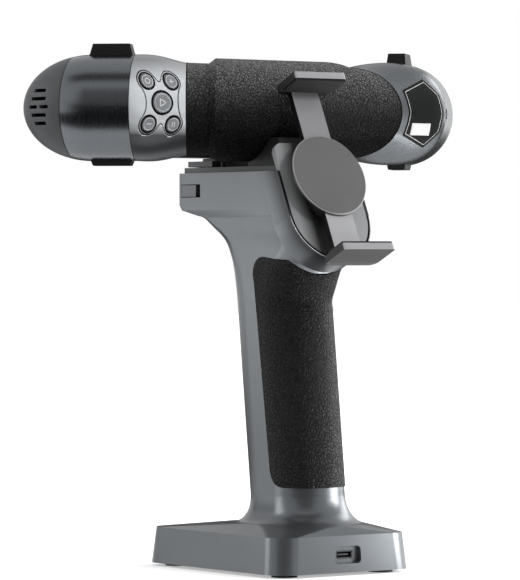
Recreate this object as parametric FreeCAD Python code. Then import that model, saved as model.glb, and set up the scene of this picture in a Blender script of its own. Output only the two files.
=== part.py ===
import FreeCAD, Part
import math
import os

# Handheld scanner docked on a pistol-grip desk stand with a swivelling phone clamp.
# Millimetres, +Z up, +X to the right, +Y the way the scanner looks.
# The pieces are built with the scanner bar's axis over Y = 0, then moved so that the origin is
# the middle of the whole object's box, on the surface it stands on.

V = FreeCAD.Vector

# ---------------------------------------------------------------- fits
GAP = 0.3            # between pieces that move on one another
SEAM = 0.15          # half of a visible joint line between two covers
RUN = 0.05           # radial clearance of a shaft in its hole
SCREW_R = 1.4        # shank of every small screw
SCREW_HEAD_R = 2.4
SCREW_HEAD_H = 1.4

# ---------------------------------------------------------------- scanner
BAR_Z = 214.2        # height of the bar's axis
NECK_R = 21.4        # bar beside the collars
SLEEVE_R = 23.9      # rubber sleeve on the middle of the bar
SLEEVE_T = 2.6       # rubber over the core at the neck
CORE_T = 2.2
CORE_TONGUE = 6.0    # core reaches this far under each collar
WALL = 2.2           # moulded covers of the scanner
COLLAR_X = 46.9      # where the bar's axis meets the joint of sleeve and collar
COLLAR_TURN = 36.0   # that joint's plane, turned about the vertical
NECK_W = 9.4         # plain neck between that joint and the thick sleeve
STEP_W = 3.8         # slope up to the thick sleeve
SLOPE_IN = 0.5       # slope's foot, below the neck's surface
HEAD_X = 75.2        # where the bar's axis meets the joint of collar and head
HEAD_TURN = 43.0     # the heads point outwards and forwards by this angle
HEAD_R = 24.4        # round heads
HEAD_BEND = 9.0      # collar's curve would run this far into the head
HEAD_BACK = 2.0      # barrel starts this far before the joint
COLLAR_IN = 4.0      # and this far under the sleeve
COLLAR_MID = (57.5, 39.0, 26.3, 23.3)   # collar's middle: X, turn, half width and half height
HEAD_L = 20.2        # straight part of a head
DOME_L = 32.1        # rounded end of a head
CAP_AT = 28.0        # from the collar joint to the end cap's joint, along the head
CAP_TURN = 53.0
SPLIT_Y = 12.0       # covers behind this plane, front housing before it
HOUSING_X = 84.0     # half length of the housing's middle
HOUSING_V = 21.8     # half height of the housing's middle
BEZEL_X = 101.0      # half length of the flat front
BEZEL_V = 21.2       # half height of the flat front
BEZEL_Y = 34.0       # back of the flat front
FRONT_Y = 42.0       # the flat front itself
WINDOW_T = 1.6
WINDOW_RIM = 5.0     # frame round the window
WINDOW_LEDGE = 2.0   # what the window is glued on

BUMPER_L = 22.0
BUMPER_W = 10.2
BUMPER_TOP_H = 4.9   # upper ones stand this far out of the head
BUMPER_LOW_H = 2.2
BUMPER_SLOPE = 2.4   # outer face is shorter by this at each end
BUMPER_TAPER = 0.8   # and narrower by this share
BUMPER_SINK = 1.0    # let into the shell

VENT_H = 1.6
VENT_GAP = 1.6       # between two slots of a row
VENT_PITCH = 3.75
VENT_Y = 16.8
VENT_ROWS = ((7.4,), (9.5,), (4.8, 5.8), (9.5,), (7.4,))

BUTTON_X = -74.9     # middle of the button group
BUTTON_Z = 1.8
BUTTON_BIG_R = 4.6
BUTTON_SMALL_R = 3.1
BUTTON_DX = 6.4
BUTTON_DZ = 9.8
BUTTON_OUT = 0.5     # caps stand proud of the collar
BUTTON_BACK_Y = -13.0
BOARD_FACE_Y = -8.0   # ends of the button stems
BUTTON_TRAVEL = 0.8
BUTTON_STEM_R = 1.6
BUTTON_BOARD_T = 1.2

LABEL_T = 0.5
LABEL_POCKET = 1.5   # the collar is open this far over the label
LABEL_OUTLINE = ((65.0, -10.8), (67.0, 0.0), (65.0, 10.8), (80.0, 16.4),   # X, height over the axis
                 (88.0, 9.0), (90.0, 0.0), (88.0, -9.0), (80.0, -16.4))

SIDE_PORT_Y = (-19.0, -14.6)   # small port in the right head, rear to front
SIDE_PORT_H = 5.0

BENCH_Y = 20.0
BENCH_T = 3.0
BENCH_X = 84.0
BENCH_V = 12.0
BENCH_TAB_X = 50.0
BENCH_TAB_W = 8.0
BENCH_HOLES = (-60, -20, 20, 60)
BENCH_HOLE_R = 3.5
CAMERA_X = 77.0
CAMERA_R = 9.0
CAMERA_BODY = 22.0
CAMERA_BODY_L = 6.0
LED_R = 13.6
LED_T = 2.0
LED_Y = 36.5
LENS_GAP = 1.2       # lens fronts to the window
PROJECTOR_W = 34.0
PROJECTOR_V = 24.0
PROJECTOR_L = 11.0
PROJECTOR_R = 7.0
COLOUR_X = 30.0
COLOUR_R = 5.6
COLOUR_BODY = 16.0
COLOUR_BODY_L = 7.0
BOARD_X = 44.0
BOARD_V = 12.5
BOARD_Y = 8.0
BOARD_T = 1.6
POST_R = 2.5
FAN_SIZE = 25.0
FAN_T = 7.0
FAN_X = 22.0
FAN_HUB_R = 5.0
FAN_BLADES = 7

SHOE_W = 30.0        # dock shoe's plate
SHOE_NECK_W = 18.0
SHOE_T = 2.7
SHOE_Y0 = 25.0
SHOE_Y1 = 41.5       # front of its neck
SHOE_PLATE_Y1 = 45.0
SHOE_TOP = 191.0
SHOE_SCREW_X = 5.6
SHOE_SCREW_IN = 5.0

# ---------------------------------------------------------------- handle
FOOT_H = 1.5
FOOT_R = 6.0
FOOT_INSET = 12.0
BASE_W = 39.5        # half width
BASE_Y0 = -61.5
BASE_Y1 = 47.3
BASE_TOP = 18.4      # upper edge of the base's side
BASE_DRAFT = 1.6
BASE_R = 11.0
SHELL_T = 3.0
COLUMN_W = 18.2      # half width of the column
COLUMN_L = 24.1      # half length of the column
COLUMN_R = 17.6
COLUMN_Y = -12.1     # column's middle at COLUMN_Z
COLUMN_Z = 125.0
COLUMN_LEAN = 0.1165
FLARE_Z = 22.4       # foot of the flare on the base's top
FLARE_R = 9.5        # how far the flare reaches out
FLARE_H = 13.0       # and how far up
FLARE_STEPS = 6
FLARE_START = 6.0    # degrees: slope of the flare's foot
NOSE_Y = 50.4        # front of the dock block
HEAD_TOP = 185.4
HEAD_FOOT = 122.0    # column passes into the head here
NOSE_W = 17.6        # half width of the dock block at the front
GRIP_POCKET = 1.5    # depth of the pocket for the grip panel
GRIP_PROUD = 0.5
GRIP_TOP = 147.0     # upper end of the panel beside the column
GRIP_REAR_TOP = 139.5
GRIP_LOW = 39.5
GRIP_BACK_TOP = 2.1  # its front edge stands this far behind the column's middle, at the top
GRIP_BACK_LOW = 5.0  # and at the foot
GRIP_R_TOP = 8.0
GRIP_R_LOW = 9.0
GRIP_GAP = 0.12
COVER_T = 2.4
COVER_GAP = 0.55
BALLAST_T = 6.0
BALLAST_W = 22.0
BALLAST_Y0 = -12.0
BALLAST_Y1 = 38.0
BOSS_R = 3.6
BASE_SCREW_X = 30.0
BASE_SCREW_L = 7.0
BASE_BORE = 8.0      # depth of its hole
BASE_SCREW_Y = (-26.0, 16.0)

MOUNT_TILT = 25.0    # the phone mount leans back by this angle
MOUNT_Y = -47.2      # middle of the round end of the mount plate's face
MOUNT_Z = 164.8
MOUNT_R = 21.2
MOUNT_RISE = 37.0    # mount plate's straight sides above that middle
MOUNT_CORNER = 5.0
MOUNT_T = 2.4
RIM_W = 1.6          # handle's rim round the mount plate
RIM_DEPTH = 13.0
PLATE_GAP = 0.2
MOUNT_SCREW_X = 7.8
MOUNT_SCREW_UP = 4.4
MOUNT_SCREW_L = 5.0

CLAMP_UP = 16.9      # clamp's middle above the round end's middle, along the plate
WASHER_R = 11.5
WASHER_T = 0.4
PIVOT_R = 4.0
PIVOT_L = 8.0        # into the handle
PIVOT_HEAD_R = 6.5
PIVOT_HEAD_T = 1.0
CLAMP_W = 21.0
CLAMP_L = 36.0
CLAMP_R = 6.0
CLAMP_FLOOR = 3.1    # clamp body behind the arms
ARM_W = 15.4
ARM_T = 3.0
ARM_PLAY = 0.2
DISC_R = 20.2
DISC_T = 1.6
DISC_CHAMFER = 0.7
UPPER_IN = 2.0       # arms' inner ends, from the clamp's middle
LOWER_IN = -15.5
UPPER_JAW = 43.1     # jaws' inner faces
LOWER_JAW = -40.5
JAW_W = 29.5
JAW_OUT = 14.5       # jaws reach this far towards the user
JAW_T = 3.3
JAW_CORNER = 4.0
PAD_T = 1.0
PAD_IN = 0.6

DOCK_W = 17.0        # half width of the dock plate
DOCK_T = 2.6
DOCK_Y0 = -29.0
DOCK_Y1 = 45.8
DOCK_POST_X = 12.0
DOCK_POST_Y = 20.0
DOCK_POST_R = 1.2
DOCK_SCREW_Y = (-1.0, 13.0)
DOCK_SCREW_X = 11.0
BLOCK_W = 15.0       # half width of the rear block
BLOCK_FRONT = -4.0
BLOCK_KNEE = -18.0
BLOCK_TOP = 201.0
BLOCK_REAR = -45.0   # cut off by the mount plate
BLOCK_LIP = 2.0      # height of its front edge
BLOCK_GAP = 0.5      # to the sleeve
RELEASE_Y0 = 34.4    # end of the release tabs
RELEASE_Y1 = 46.5
RELEASE_Z0 = 174.2
RELEASE_Z1 = 179.8
RELEASE_T = 2.4
RELEASE_BAR = 3.0
RELEASE_TRAVEL = 4.0
CATCH_W = 9.0
PORT_Z = 9.6
PORT_W = 15.6
PORT_H = 8.0
PORT_R = 2.0
PORT_DEPTH = 2.4
PORT_WALL = 1.6      # floor of the port's recess
POWER_W = 14.0
POWER_Y1 = -20.0
RADIO_W = 13.0
RADIO_Y0 = -18.0
RADIO_Y1 = 26.0
RADIO_Z = 167.0
TRAY_T = 2.0
TRAY_SINK = 2.0      # trays reach this far past the cells' ends
WEB_W = 12.0         # half width of the strip that joins the trays
WEB_T = 2.0
SOCKET_W = 9.0
SOCKET_H = 3.3
SOCKET_L = 8.0
CELL_R = 9.0
CELL_L = 65.0
CELL_Z = 44.0
CELL_GAP = 0.6

# height, rear, front, half width, half width in front, corner radius of the handle's head
HEAD_SWELL = (
    (131.0, -38.2, 12.7, 18.3, 18.2, 17.4),
    (137.0, -40.4, 13.4, 18.7, 18.2, 17.0),
    (142.5, -43.5, 14.2, 19.3, 18.2, 16.4),
    (148.0, -49.5, 15.7, 20.0, 18.0, 15.0),
    (153.5, -50.5, 18.0, 20.7, 17.8, 12.5),
    (158.0, -49.2, 23.4, 21.2, 17.7, 10.5),
    (162.1, -47.6, 29.0, 21.2, NOSE_W, 8.0),
    (165.0, -46.4, 36.0, 21.2, NOSE_W, 6.0),
)
HEAD_BLOCK = (
    (167.8, -45.2, NOSE_Y - 1.6, 21.2, NOSE_W, 4.0),
    (170.5, -44.0, NOSE_Y, 21.2, NOSE_W, 3.2),
    (HEAD_TOP, -37.2, NOSE_Y, 21.2, NOSE_W, 3.2),
)
REAR_LEAN = 1.05     # the head's rear leans, so its wall is set in by this much more
HOLLOW_Y = 27.0      # below the dock block the hollow ends here
HOLLOW_Z = 171.0     # and over it starts here


# ================================================================ general shapes
def box(x0, x1, y0, y1, z0, z1):
    return Part.makeBox(x1 - x0, y1 - y0, z1 - z0, V(x0, y0, z0))


def rod(radius, start, end):
    axis = end.sub(start)
    return Part.makeCylinder(radius, axis.Length, start, axis)


def tube(outer, inner, start, end):
    return rod(outer, start, end).cut(rod(inner, start, end))


def rounded(points, radii):
    """Closed wire through points, with an arc of its own radius at each corner."""
    edges = []
    ends = []
    for i, corner in enumerate(points):
        before = points[i - 1].sub(corner)
        after = points[(i + 1) % len(points)].sub(corner)
        before.normalize()
        after.normalize()
        half = before.getAngle(after) / 2.0
        middle = before.add(after)
        middle.normalize()
        reach = radii[i] / math.tan(half)
        centre = corner.add(middle.multiply(radii[i] / math.sin(half)))
        inwards = corner.sub(centre)
        inwards.normalize()
        a = corner.add(before.multiply(reach))
        b = corner.add(after.multiply(reach))
        ends.append((a, centre.add(inwards.multiply(radii[i])), b))
    for i, (a, m, b) in enumerate(ends):
        edges.append(Part.Arc(a, m, b).toShape())
        following = ends[(i + 1) % len(ends)][0]
        if b.distanceToPoint(following) > 1e-6:
            edges.append(Part.LineSegment(b, following).toShape())
    return Part.Wire(Part.__sortEdges__(edges))


def prism(wire, along):
    return Part.Face(wire).extrude(along)


def slab(points, x0, x1):
    """A side view (Y, Z) made solid between two X values."""
    wire = Part.makePolygon([V(x0, y, z) for y, z in points + points[:1]])
    return prism(wire, V(x1 - x0, 0, 0))


def stadium(half_x, half_z, z, y0, y1):
    corners = [V(-half_x, y0, z - half_z), V(half_x, y0, z - half_z),
               V(half_x, y0, z + half_z), V(-half_x, y0, z + half_z)]
    return prism(rounded(corners, [half_z - 0.01] * 4), V(0, y1 - y0, 0))


def mirror(shape):
    return shape.mirror(V(0, 0, 0), V(1, 0, 0))


def half_space(point, normal, size=400.0):
    """Large block on the normal's side of a vertical plane through point."""
    block = Part.makeBox(size, size, size, V(0, -size / 2, -size / 2))
    block.Placement = FreeCAD.Placement(point, FreeCAD.Rotation(V(1, 0, 0), normal))
    return block


# ================================================================ scanner's outer form
def heading(degrees):
    a = math.radians(degrees)
    return V(math.cos(a), math.sin(a), 0)


def ring(centre, turn, half_h, half_v):
    side = heading(turn - 90.0).multiply(half_h)
    rise = min(half_v, half_h - 0.0001)
    return Part.Wire(Part.Ellipse(centre.add(side), centre.add(V(0, 0, rise)), centre).toShape())


HEAD_AT = V(HEAD_X, 0, BAR_Z)
HEAD_DIR = heading(HEAD_TURN)


def on_head(distance):
    return HEAD_AT.add(V(HEAD_DIR).multiply(distance))


def collar_form(inset):
    """Right collar, from under the sleeve to just past the head's joint."""
    slant = NECK_R / math.cos(math.radians(COLLAR_TURN))
    middle, turn, half_h, half_v = COLLAR_MID
    radius = HEAD_R - inset
    rings = [ring(V(COLLAR_X - COLLAR_IN, 0, BAR_Z), COLLAR_TURN, slant - inset, NECK_R - inset),
             ring(V(COLLAR_X, 0, BAR_Z), COLLAR_TURN, slant - inset, NECK_R - inset),
             ring(V(middle, 0, BAR_Z), turn, half_h - inset, half_v - inset),
             ring(HEAD_AT, HEAD_TURN, radius, radius),
             ring(on_head(HEAD_BEND), HEAD_TURN, radius, radius)]
    return Part.makeLoft(rings, True, False)


def head_form(inset):
    """Right head: a round barrel with a rounded end."""
    radius = HEAD_R - inset
    start = on_head(-HEAD_BACK)
    straight = on_head(HEAD_L)
    side = heading(HEAD_TURN - 90.0)
    tip = straight.add(V(HEAD_DIR).multiply(DOME_L - inset))
    rim = straight.add(V(side).multiply(radius))
    shoulder = start.add(V(side).multiply(radius))
    bulge = Part.Ellipse(tip, rim, straight)
    halves = [Part.Edge(bulge, bulge.parameter(a), bulge.parameter(b)) for a, b in ((rim, tip), (tip, rim))]
    arc = min(halves, key=lambda edge: edge.Length)
    outline = [Part.LineSegment(start, shoulder).toShape(), Part.LineSegment(shoulder, rim).toShape(),
               arc, Part.LineSegment(tip, start).toShape()]
    face = Part.Face(Part.Wire(Part.__sortEdges__(outline)))
    return face.revolve(HEAD_AT, HEAD_DIR, 360.0)


def sleeve_form(inset):
    """Bar between the collars: a thick middle, a slope and a plain neck at each end."""
    long = COLLAR_X + SLEEVE_R
    neck = rod(NECK_R - inset, V(-long, 0, BAR_Z), V(long, 0, BAR_Z))
    turn = math.cos(math.radians(COLLAR_TURN))
    inner = COLLAR_X - NECK_W / turn
    edge = inner - STEP_W / turn
    right = V(edge, 0, BAR_Z)
    thick = rod(SLEEVE_R - inset, V(-long, 0, BAR_Z), V(long, 0, BAR_Z))
    for side in (1, -1):
        cut = half_space(V(edge * side, 0, BAR_Z), heading(COLLAR_TURN if side > 0 else 180 - COLLAR_TURN))
        thick = thick.cut(cut)
    small = NECK_R - inset - SLOPE_IN
    slope = Part.makeLoft([ring(right, COLLAR_TURN, (SLEEVE_R - inset) / turn, SLEEVE_R - inset),
                           ring(V(inner, 0, BAR_Z), COLLAR_TURN, small / turn, small)], True, True)
    return neck.multiFuse([thick, slope, mirror(slope)])


def beyond(distance_x, turn, shift, right=True):
    """Everything on the outer side of a slanted joint, moved outwards by shift."""
    way = heading(turn)
    block = half_space(V(distance_x, 0, BAR_Z).add(V(way).multiply(shift)), way)
    return block if right else mirror(block)


def behind_split(shift=0.0):
    return box(-200, 200, -200, SPLIT_Y - shift, 0, 400)


def housing_room(grow):
    """Middle and flat front of the housing, with the joint line round them."""
    middle = box(-HOUSING_X - grow, HOUSING_X + grow, SPLIT_Y - grow, BEZEL_Y + 1,
                 BAR_Z - HOUSING_V - grow, BAR_Z + HOUSING_V + grow)
    flat = stadium(BEZEL_X + grow, BEZEL_V + grow, BAR_Z, BEZEL_Y - grow, FRONT_Y + 20)
    return middle, flat


# ================================================================ scanner's pieces
def open_skin(form):
    """A cover's wall, open where the front housing goes."""
    skin = form(0).cut(form(WALL))
    for room in housing_room(SEAM):
        skin = skin.cut(room)
    return skin


def head_shell_parts():
    """Collar, head shell and end cap of the right side."""
    collar = open_skin(collar_form).common(beyond(COLLAR_X, COLLAR_TURN, SEAM))
    collar = collar.cut(beyond(HEAD_X, HEAD_TURN, -SEAM)).common(behind_split(SEAM))
    head = open_skin(head_form).common(beyond(HEAD_X, HEAD_TURN, SEAM))
    cap_joint = on_head(CAP_AT)
    outer = half_space(cap_joint.add(V(heading(CAP_TURN)).multiply(SEAM)), heading(CAP_TURN))
    inner = half_space(cap_joint.sub(V(heading(CAP_TURN)).multiply(SEAM)), heading(CAP_TURN))
    return largest(collar), largest(head.cut(inner)), largest(head.common(outer))


def largest(shape):
    return max(shape.Solids, key=lambda solid: solid.Volume)


def vent_cutters():
    """Five rows of slots across the end cap, seen along the bar from outside."""
    cutters = []
    middle = (len(VENT_ROWS) - 1) / 2.0
    for i, row in enumerate(VENT_ROWS):
        z = BAR_Z + (middle - i) * VENT_PITCH
        total = sum(row) + VENT_GAP * (len(row) - 1)
        y = VENT_Y - total / 2.0
        for length in row:
            cutters.append(box(HEAD_X + HEAD_L, HEAD_X + 60, y, y + length, z - VENT_H / 2, z + VENT_H / 2))
            y += length + VENT_GAP
    return cutters


def bumper(top):
    """Rubber block that keeps the head off a table, above or below the right head."""
    up, height = (1, BUMPER_TOP_H) if top else (-1, BUMPER_LOW_H)
    base = [V(0, -BUMPER_W / 2, 0), V(BUMPER_L, -BUMPER_W / 2, 0),
            V(BUMPER_L, BUMPER_W / 2, 0), V(0, BUMPER_W / 2, 0)]
    low = V(SEAM, 0, up * (HEAD_R - BUMPER_SINK - 3.0))
    high = V(BUMPER_SLOPE, 0, up * (HEAD_R + height))
    lower = Part.makePolygon([p.add(low) for p in base + base[:1]])
    shrink = (BUMPER_L - 2 * BUMPER_SLOPE) / BUMPER_L
    upper = Part.makePolygon([V(p.x * shrink, p.y * BUMPER_TAPER, 0).add(high) for p in base + base[:1]])
    block = Part.makeLoft([lower, upper], True, True)
    block.rotate(V(0, 0, 0), V(0, 0, 1), HEAD_TURN)
    block.translate(HEAD_AT)
    return block.cut(rod(HEAD_R - BUMPER_SINK, on_head(-BUMPER_L), on_head(2 * BUMPER_L)))


def buttons():
    """Name, X, Z and radius of each button on the left collar."""
    yield "button_centre", BUTTON_X, BUTTON_Z, BUTTON_BIG_R
    for word, dz in (("upper", 1), ("lower", -1)):
        for side, dx in (("left", -1), ("right", 1)):
            yield ("button_%s_%s" % (word, side), BUTTON_X + dx * BUTTON_DX,
                   BUTTON_Z + dz * BUTTON_DZ, BUTTON_SMALL_R)


def button_cap(x, z, radius, proud_form):
    reach = rod(radius, V(x, -60, BAR_Z + z), V(x, BUTTON_BACK_Y, BAR_Z + z))
    cap = largest(reach.common(proud_form))
    stem = rod(BUTTON_STEM_R, V(x, BUTTON_BACK_Y, BAR_Z + z), V(x, BOARD_FACE_Y, BAR_Z + z))
    return cap.fuse(stem)


def scanner_pieces(add):
    collar_right, shell_right, cap_right = head_shell_parts()
    collar_left, shell_left, cap_left = mirror(collar_right), mirror(shell_right), mirror(cap_right)

    proud = mirror(collar_form(-BUTTON_OUT))
    for name, x, z, radius in buttons():
        collar_left = collar_left.cut(rod(radius + GAP, V(x, -60, BAR_Z + z), V(x, 0, BAR_Z + z)))
        add(name, button_cap(x, z, radius, proud))
    add("collar_left", collar_left)

    # board behind the buttons, held in a frame that stands on the optical bench's posts
    group_x = BUTTON_DX + BUTTON_SMALL_R + 3.0
    group_z = BUTTON_DZ + BUTTON_SMALL_R + 1.0
    board_y = BOARD_FACE_Y + BUTTON_TRAVEL + GAP
    board = box(BUTTON_X - group_x, BUTTON_X + group_x, board_y, board_y + BUTTON_BOARD_T,
                BAR_Z + BUTTON_Z - group_z, BAR_Z + BUTTON_Z + group_z)
    add("button_board", board)

    # plain label plate let into the right collar
    plate = collar_form(-LABEL_T / 2).cut(collar_form(LABEL_T / 2))
    corners = [V(x, -60, BAR_Z + rise) for x, rise in LABEL_OUTLINE]
    window = prism(Part.makePolygon(corners + corners[:1]), V(0, 55, 0))
    label = largest(plate.common(window))
    add("label_plate", label)
    pocket = collar_form(-LABEL_POCKET).cut(collar_form(LABEL_T / 2)).common(window)
    add("collar_right", largest(collar_right.cut(pocket)))

    rubber = {}
    for word, top in (("top", True), ("bottom", False)):
        rubber[word] = bumper(top)
        shell_right = shell_right.cut(rubber[word])
        shell_left = shell_left.cut(mirror(rubber[word]))
    low, high = SIDE_PORT_Y
    port_hole = box(HEAD_X, HEAD_X + 60, low, high, BAR_Z - SIDE_PORT_H / 2, BAR_Z + SIDE_PORT_H / 2)
    add("head_shell_right", largest(shell_right.cut(port_hole)))
    add("head_shell_left", largest(shell_left))
    for word in rubber:
        add("bumper_%s_right" % word, rubber[word])
        add("bumper_%s_left" % word, mirror(rubber[word]))

    vents = vent_cutters()
    for name, cap, cutters in (("end_cap_right", cap_right, vents),
                               ("end_cap_left", cap_left, [mirror(c) for c in vents])):
        for cutter in cutters:
            cap = cap.cut(cutter)
        add(name, largest(cap))

    # rubber sleeve over a stiff core
    inner = rod(NECK_R - SLEEVE_T, V(-200, 0, BAR_Z), V(200, 0, BAR_Z))
    sleeve = sleeve_form(0).cut(inner).common(behind_split(SEAM))
    for right in (True, False):
        sleeve = sleeve.cut(beyond(COLLAR_X, COLLAR_TURN, -SEAM, right))
    add("grip_sleeve", largest(sleeve))
    left_end, right_end = V(-HOUSING_X, 0, BAR_Z), V(HOUSING_X, 0, BAR_Z)
    core = tube(NECK_R - SLEEVE_T, NECK_R - SLEEVE_T - CORE_T, left_end, right_end)
    core = core.common(behind_split(SEAM))
    for right in (True, False):
        core = core.cut(beyond(COLLAR_X, COLLAR_TURN, CORE_TONGUE, right))
    for name, x, z, radius in buttons():
        core = core.cut(rod(radius + GAP, V(x, -60, BAR_Z + z), V(x, 0, BAR_Z + z)))
    add("grip_core", largest(core))


def front_pieces(add):
    """Front housing, window and what looks out through it."""
    middle, flat = housing_room(0)
    outer = middle.fuse(flat).common(box(-200, 200, 0, FRONT_Y, 0, 400))
    hollow = box(-HOUSING_X - 1, HOUSING_X + 1, 0, BEZEL_Y + 1,
                 BAR_Z - HOUSING_V + WALL, BAR_Z + HOUSING_V - WALL)
    hollow = hollow.fuse(stadium(BEZEL_X - WALL, BEZEL_V - WALL, BAR_Z, BEZEL_Y - 1, FRONT_Y - WALL))
    recess = stadium(BEZEL_X - WINDOW_RIM, BEZEL_V - WINDOW_RIM, BAR_Z, FRONT_Y - WINDOW_T, FRONT_Y + 1)
    opening = stadium(BEZEL_X - WINDOW_RIM - WINDOW_LEDGE, BEZEL_V - WINDOW_RIM - WINDOW_LEDGE, BAR_Z,
                      FRONT_Y - 10, FRONT_Y)
    shell = largest(outer.cut(hollow).cut(recess).cut(opening))
    shoe_low = BAR_Z - HOUSING_V
    neck = box(-SHOE_NECK_W / 2, SHOE_NECK_W / 2, SHOE_Y0, SHOE_Y1, SHOE_TOP, shoe_low)
    plate = box(-SHOE_W / 2, SHOE_W / 2, SHOE_Y0, SHOE_PLATE_Y1, SHOE_TOP - SHOE_T, SHOE_TOP)
    shoe = neck.fuse(plate)
    for x in (-SHOE_SCREW_X, SHOE_SCREW_X):
        for y in (SHOE_Y0 + SHOE_SCREW_IN, SHOE_Y1 - SHOE_SCREW_IN):
            hole = rod(SCREW_R + RUN, V(x, y, SHOE_TOP - SHOE_T), V(x, y, shoe_low + WALL))
            low = SHOE_TOP - SHOE_T
            head = rod(SCREW_HEAD_R + RUN, V(x, y, low), V(x, y, low + SCREW_HEAD_H))
            shoe = shoe.cut(hole).cut(head)
            shell = shell.cut(hole)
    add("front_housing", shell)
    add("dock_shoe", shoe)
    screws = []
    for x in (-SHOE_SCREW_X, SHOE_SCREW_X):
        for y in (SHOE_Y0 + SHOE_SCREW_IN, SHOE_Y1 - SHOE_SCREW_IN):
            screws.append(screw(V(x, y, SHOE_TOP - SHOE_T + SCREW_HEAD_H), V(0, 0, 1),
                                shoe_low + WALL - (SHOE_TOP - SHOE_T + SCREW_HEAD_H)))
    add("shoe_screws", Part.makeCompound(screws))

    glass = stadium(BEZEL_X - WINDOW_RIM - SEAM, BEZEL_V - WINDOW_RIM - SEAM, BAR_Z,
                    FRONT_Y - WINDOW_T, FRONT_Y - 0.1)
    add("front_window", glass)

    face = BENCH_Y + BENCH_T
    bench = box(-BENCH_X, BENCH_X, BENCH_Y, face, BAR_Z - BENCH_V, BAR_Z + BENCH_V)
    high = HOUSING_V - WALL
    for x in (-BENCH_TAB_X, BENCH_TAB_X):
        half = BENCH_TAB_W / 2
        bench = bench.fuse(box(x - half, x + half, BENCH_Y, face, BAR_Z - high, BAR_Z + high))
    for x in (-BOARD_X + 4, BOARD_X - 4):
        for z in (BOARD_V - 4, 4 - BOARD_V):
            bench = bench.fuse(rod(POST_R, V(x, BOARD_Y + BOARD_T, BAR_Z + z), V(x, BENCH_Y, BAR_Z + z)))
    post_y = BOARD_FACE_Y + BUTTON_TRAVEL + GAP + BUTTON_BOARD_T
    for z in (-BENCH_V + 4, BENCH_V - 4):
        bench = bench.fuse(rod(POST_R, V(BUTTON_X, post_y, BAR_Z + z), V(BUTTON_X, BENCH_Y, BAR_Z + z)))
    for x in BENCH_HOLES:
        bench = bench.cut(rod(BENCH_HOLE_R, V(x, BENCH_Y - 1, BAR_Z), V(x, face + 1, BAR_Z)))
    add("optical_bench", bench)

    lens_y = FRONT_Y - WINDOW_T - LENS_GAP
    for word, x in (("left", -CAMERA_X), ("right", CAMERA_X)):
        half = CAMERA_BODY / 2
        body = box(x - half, x + half, face, face + CAMERA_BODY_L, BAR_Z - half, BAR_Z + half)
        barrel = rod(CAMERA_R, V(x, face + CAMERA_BODY_L, BAR_Z), V(x, lens_y, BAR_Z))
        bowl = Part.makeCone(CAMERA_R * 0.45, CAMERA_R * 0.75, 1.5, V(x, lens_y - 1.5, BAR_Z), V(0, 1, 0))
        add("camera_%s" % word, body.fuse(barrel).cut(bowl))
        ring_y = LED_Y - LED_T
        light = tube(LED_R, CAMERA_R, V(x, ring_y, BAR_Z), V(x, LED_Y, BAR_Z))
        add("led_ring_%s" % word, light)
    half = PROJECTOR_W / 2
    case = box(-half, half, face, face + PROJECTOR_L, BAR_Z - PROJECTOR_V / 2, BAR_Z + PROJECTOR_V / 2)
    case = case.fuse(rod(PROJECTOR_R, V(0, face + PROJECTOR_L, BAR_Z), V(0, lens_y, BAR_Z)))
    add("projector", case)
    half = COLOUR_BODY / 2
    case = box(COLOUR_X - half, COLOUR_X + half, face, face + COLOUR_BODY_L, BAR_Z - half, BAR_Z + half)
    case = case.fuse(rod(COLOUR_R, V(COLOUR_X, face + COLOUR_BODY_L, BAR_Z), V(COLOUR_X, lens_y, BAR_Z)))
    add("colour_camera", case)

    board = box(-BOARD_X, BOARD_X, BOARD_Y, BOARD_Y + BOARD_T, BAR_Z - BOARD_V, BAR_Z + BOARD_V)
    board = board.fuse(box(-30, -12, BOARD_Y - 2.0, BOARD_Y, BAR_Z - 8, BAR_Z + 8))
    add("main_board", board)
    half = FAN_SIZE / 2
    fan_back = BOARD_Y - FAN_T
    frame = box(FAN_X - half, FAN_X + half, fan_back, BOARD_Y, BAR_Z - half, BAR_Z + half)
    frame = frame.cut(rod(half - 1.5, V(FAN_X, fan_back - 1, BAR_Z), V(FAN_X, BOARD_Y + 1, BAR_Z)))
    for angle in (0, 60, 120):
        spoke = box(FAN_X - half + 1, FAN_X + half - 1, BOARD_Y - 1.2, BOARD_Y, BAR_Z - 0.8, BAR_Z + 0.8)
        spoke.rotate(V(FAN_X, 0, BAR_Z), V(0, 1, 0), angle)
        frame = frame.fuse(spoke)
    axle = rod(1.0, V(FAN_X, fan_back + 1.5, BAR_Z), V(FAN_X, BOARD_Y - 1.2, BAR_Z))
    add("fan_frame", frame.fuse(axle))
    hub = rod(FAN_HUB_R, V(FAN_X, fan_back + 0.6, BAR_Z), V(FAN_X, BOARD_Y - 1.2 - GAP, BAR_Z))
    for k in range(FAN_BLADES):
        blade = box(FAN_X + FAN_HUB_R - 0.5, FAN_X + half - 2.2, fan_back + 0.9, BOARD_Y - 1.8,
                    BAR_Z - 0.5, BAR_Z + 0.5)
        blade.rotate(V(FAN_X, fan_back + FAN_T / 2, BAR_Z), V(1, 0, 0), 35)
        blade.rotate(V(FAN_X, 0, BAR_Z), V(0, 1, 0), 360.0 * k / FAN_BLADES)
        hub = hub.fuse(blade)
    bore = rod(1.0 + RUN, V(FAN_X, fan_back + 1.5 - GAP, BAR_Z), V(FAN_X, BOARD_Y, BAR_Z))
    add("fan_rotor", hub.cut(bore))


def screw(seat, way, length):
    """Pan head below the seat plane, shank along way from it."""
    head_low = seat.sub(V(way).multiply(SCREW_HEAD_H))
    body = rod(SCREW_HEAD_R, head_low, seat).fuse(rod(SCREW_R, seat, seat.add(V(way).multiply(length))))
    slot = rod(SCREW_R * 0.8, head_low, head_low.add(V(way).multiply(SCREW_HEAD_H * 0.5)))
    return body.cut(slot)


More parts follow.
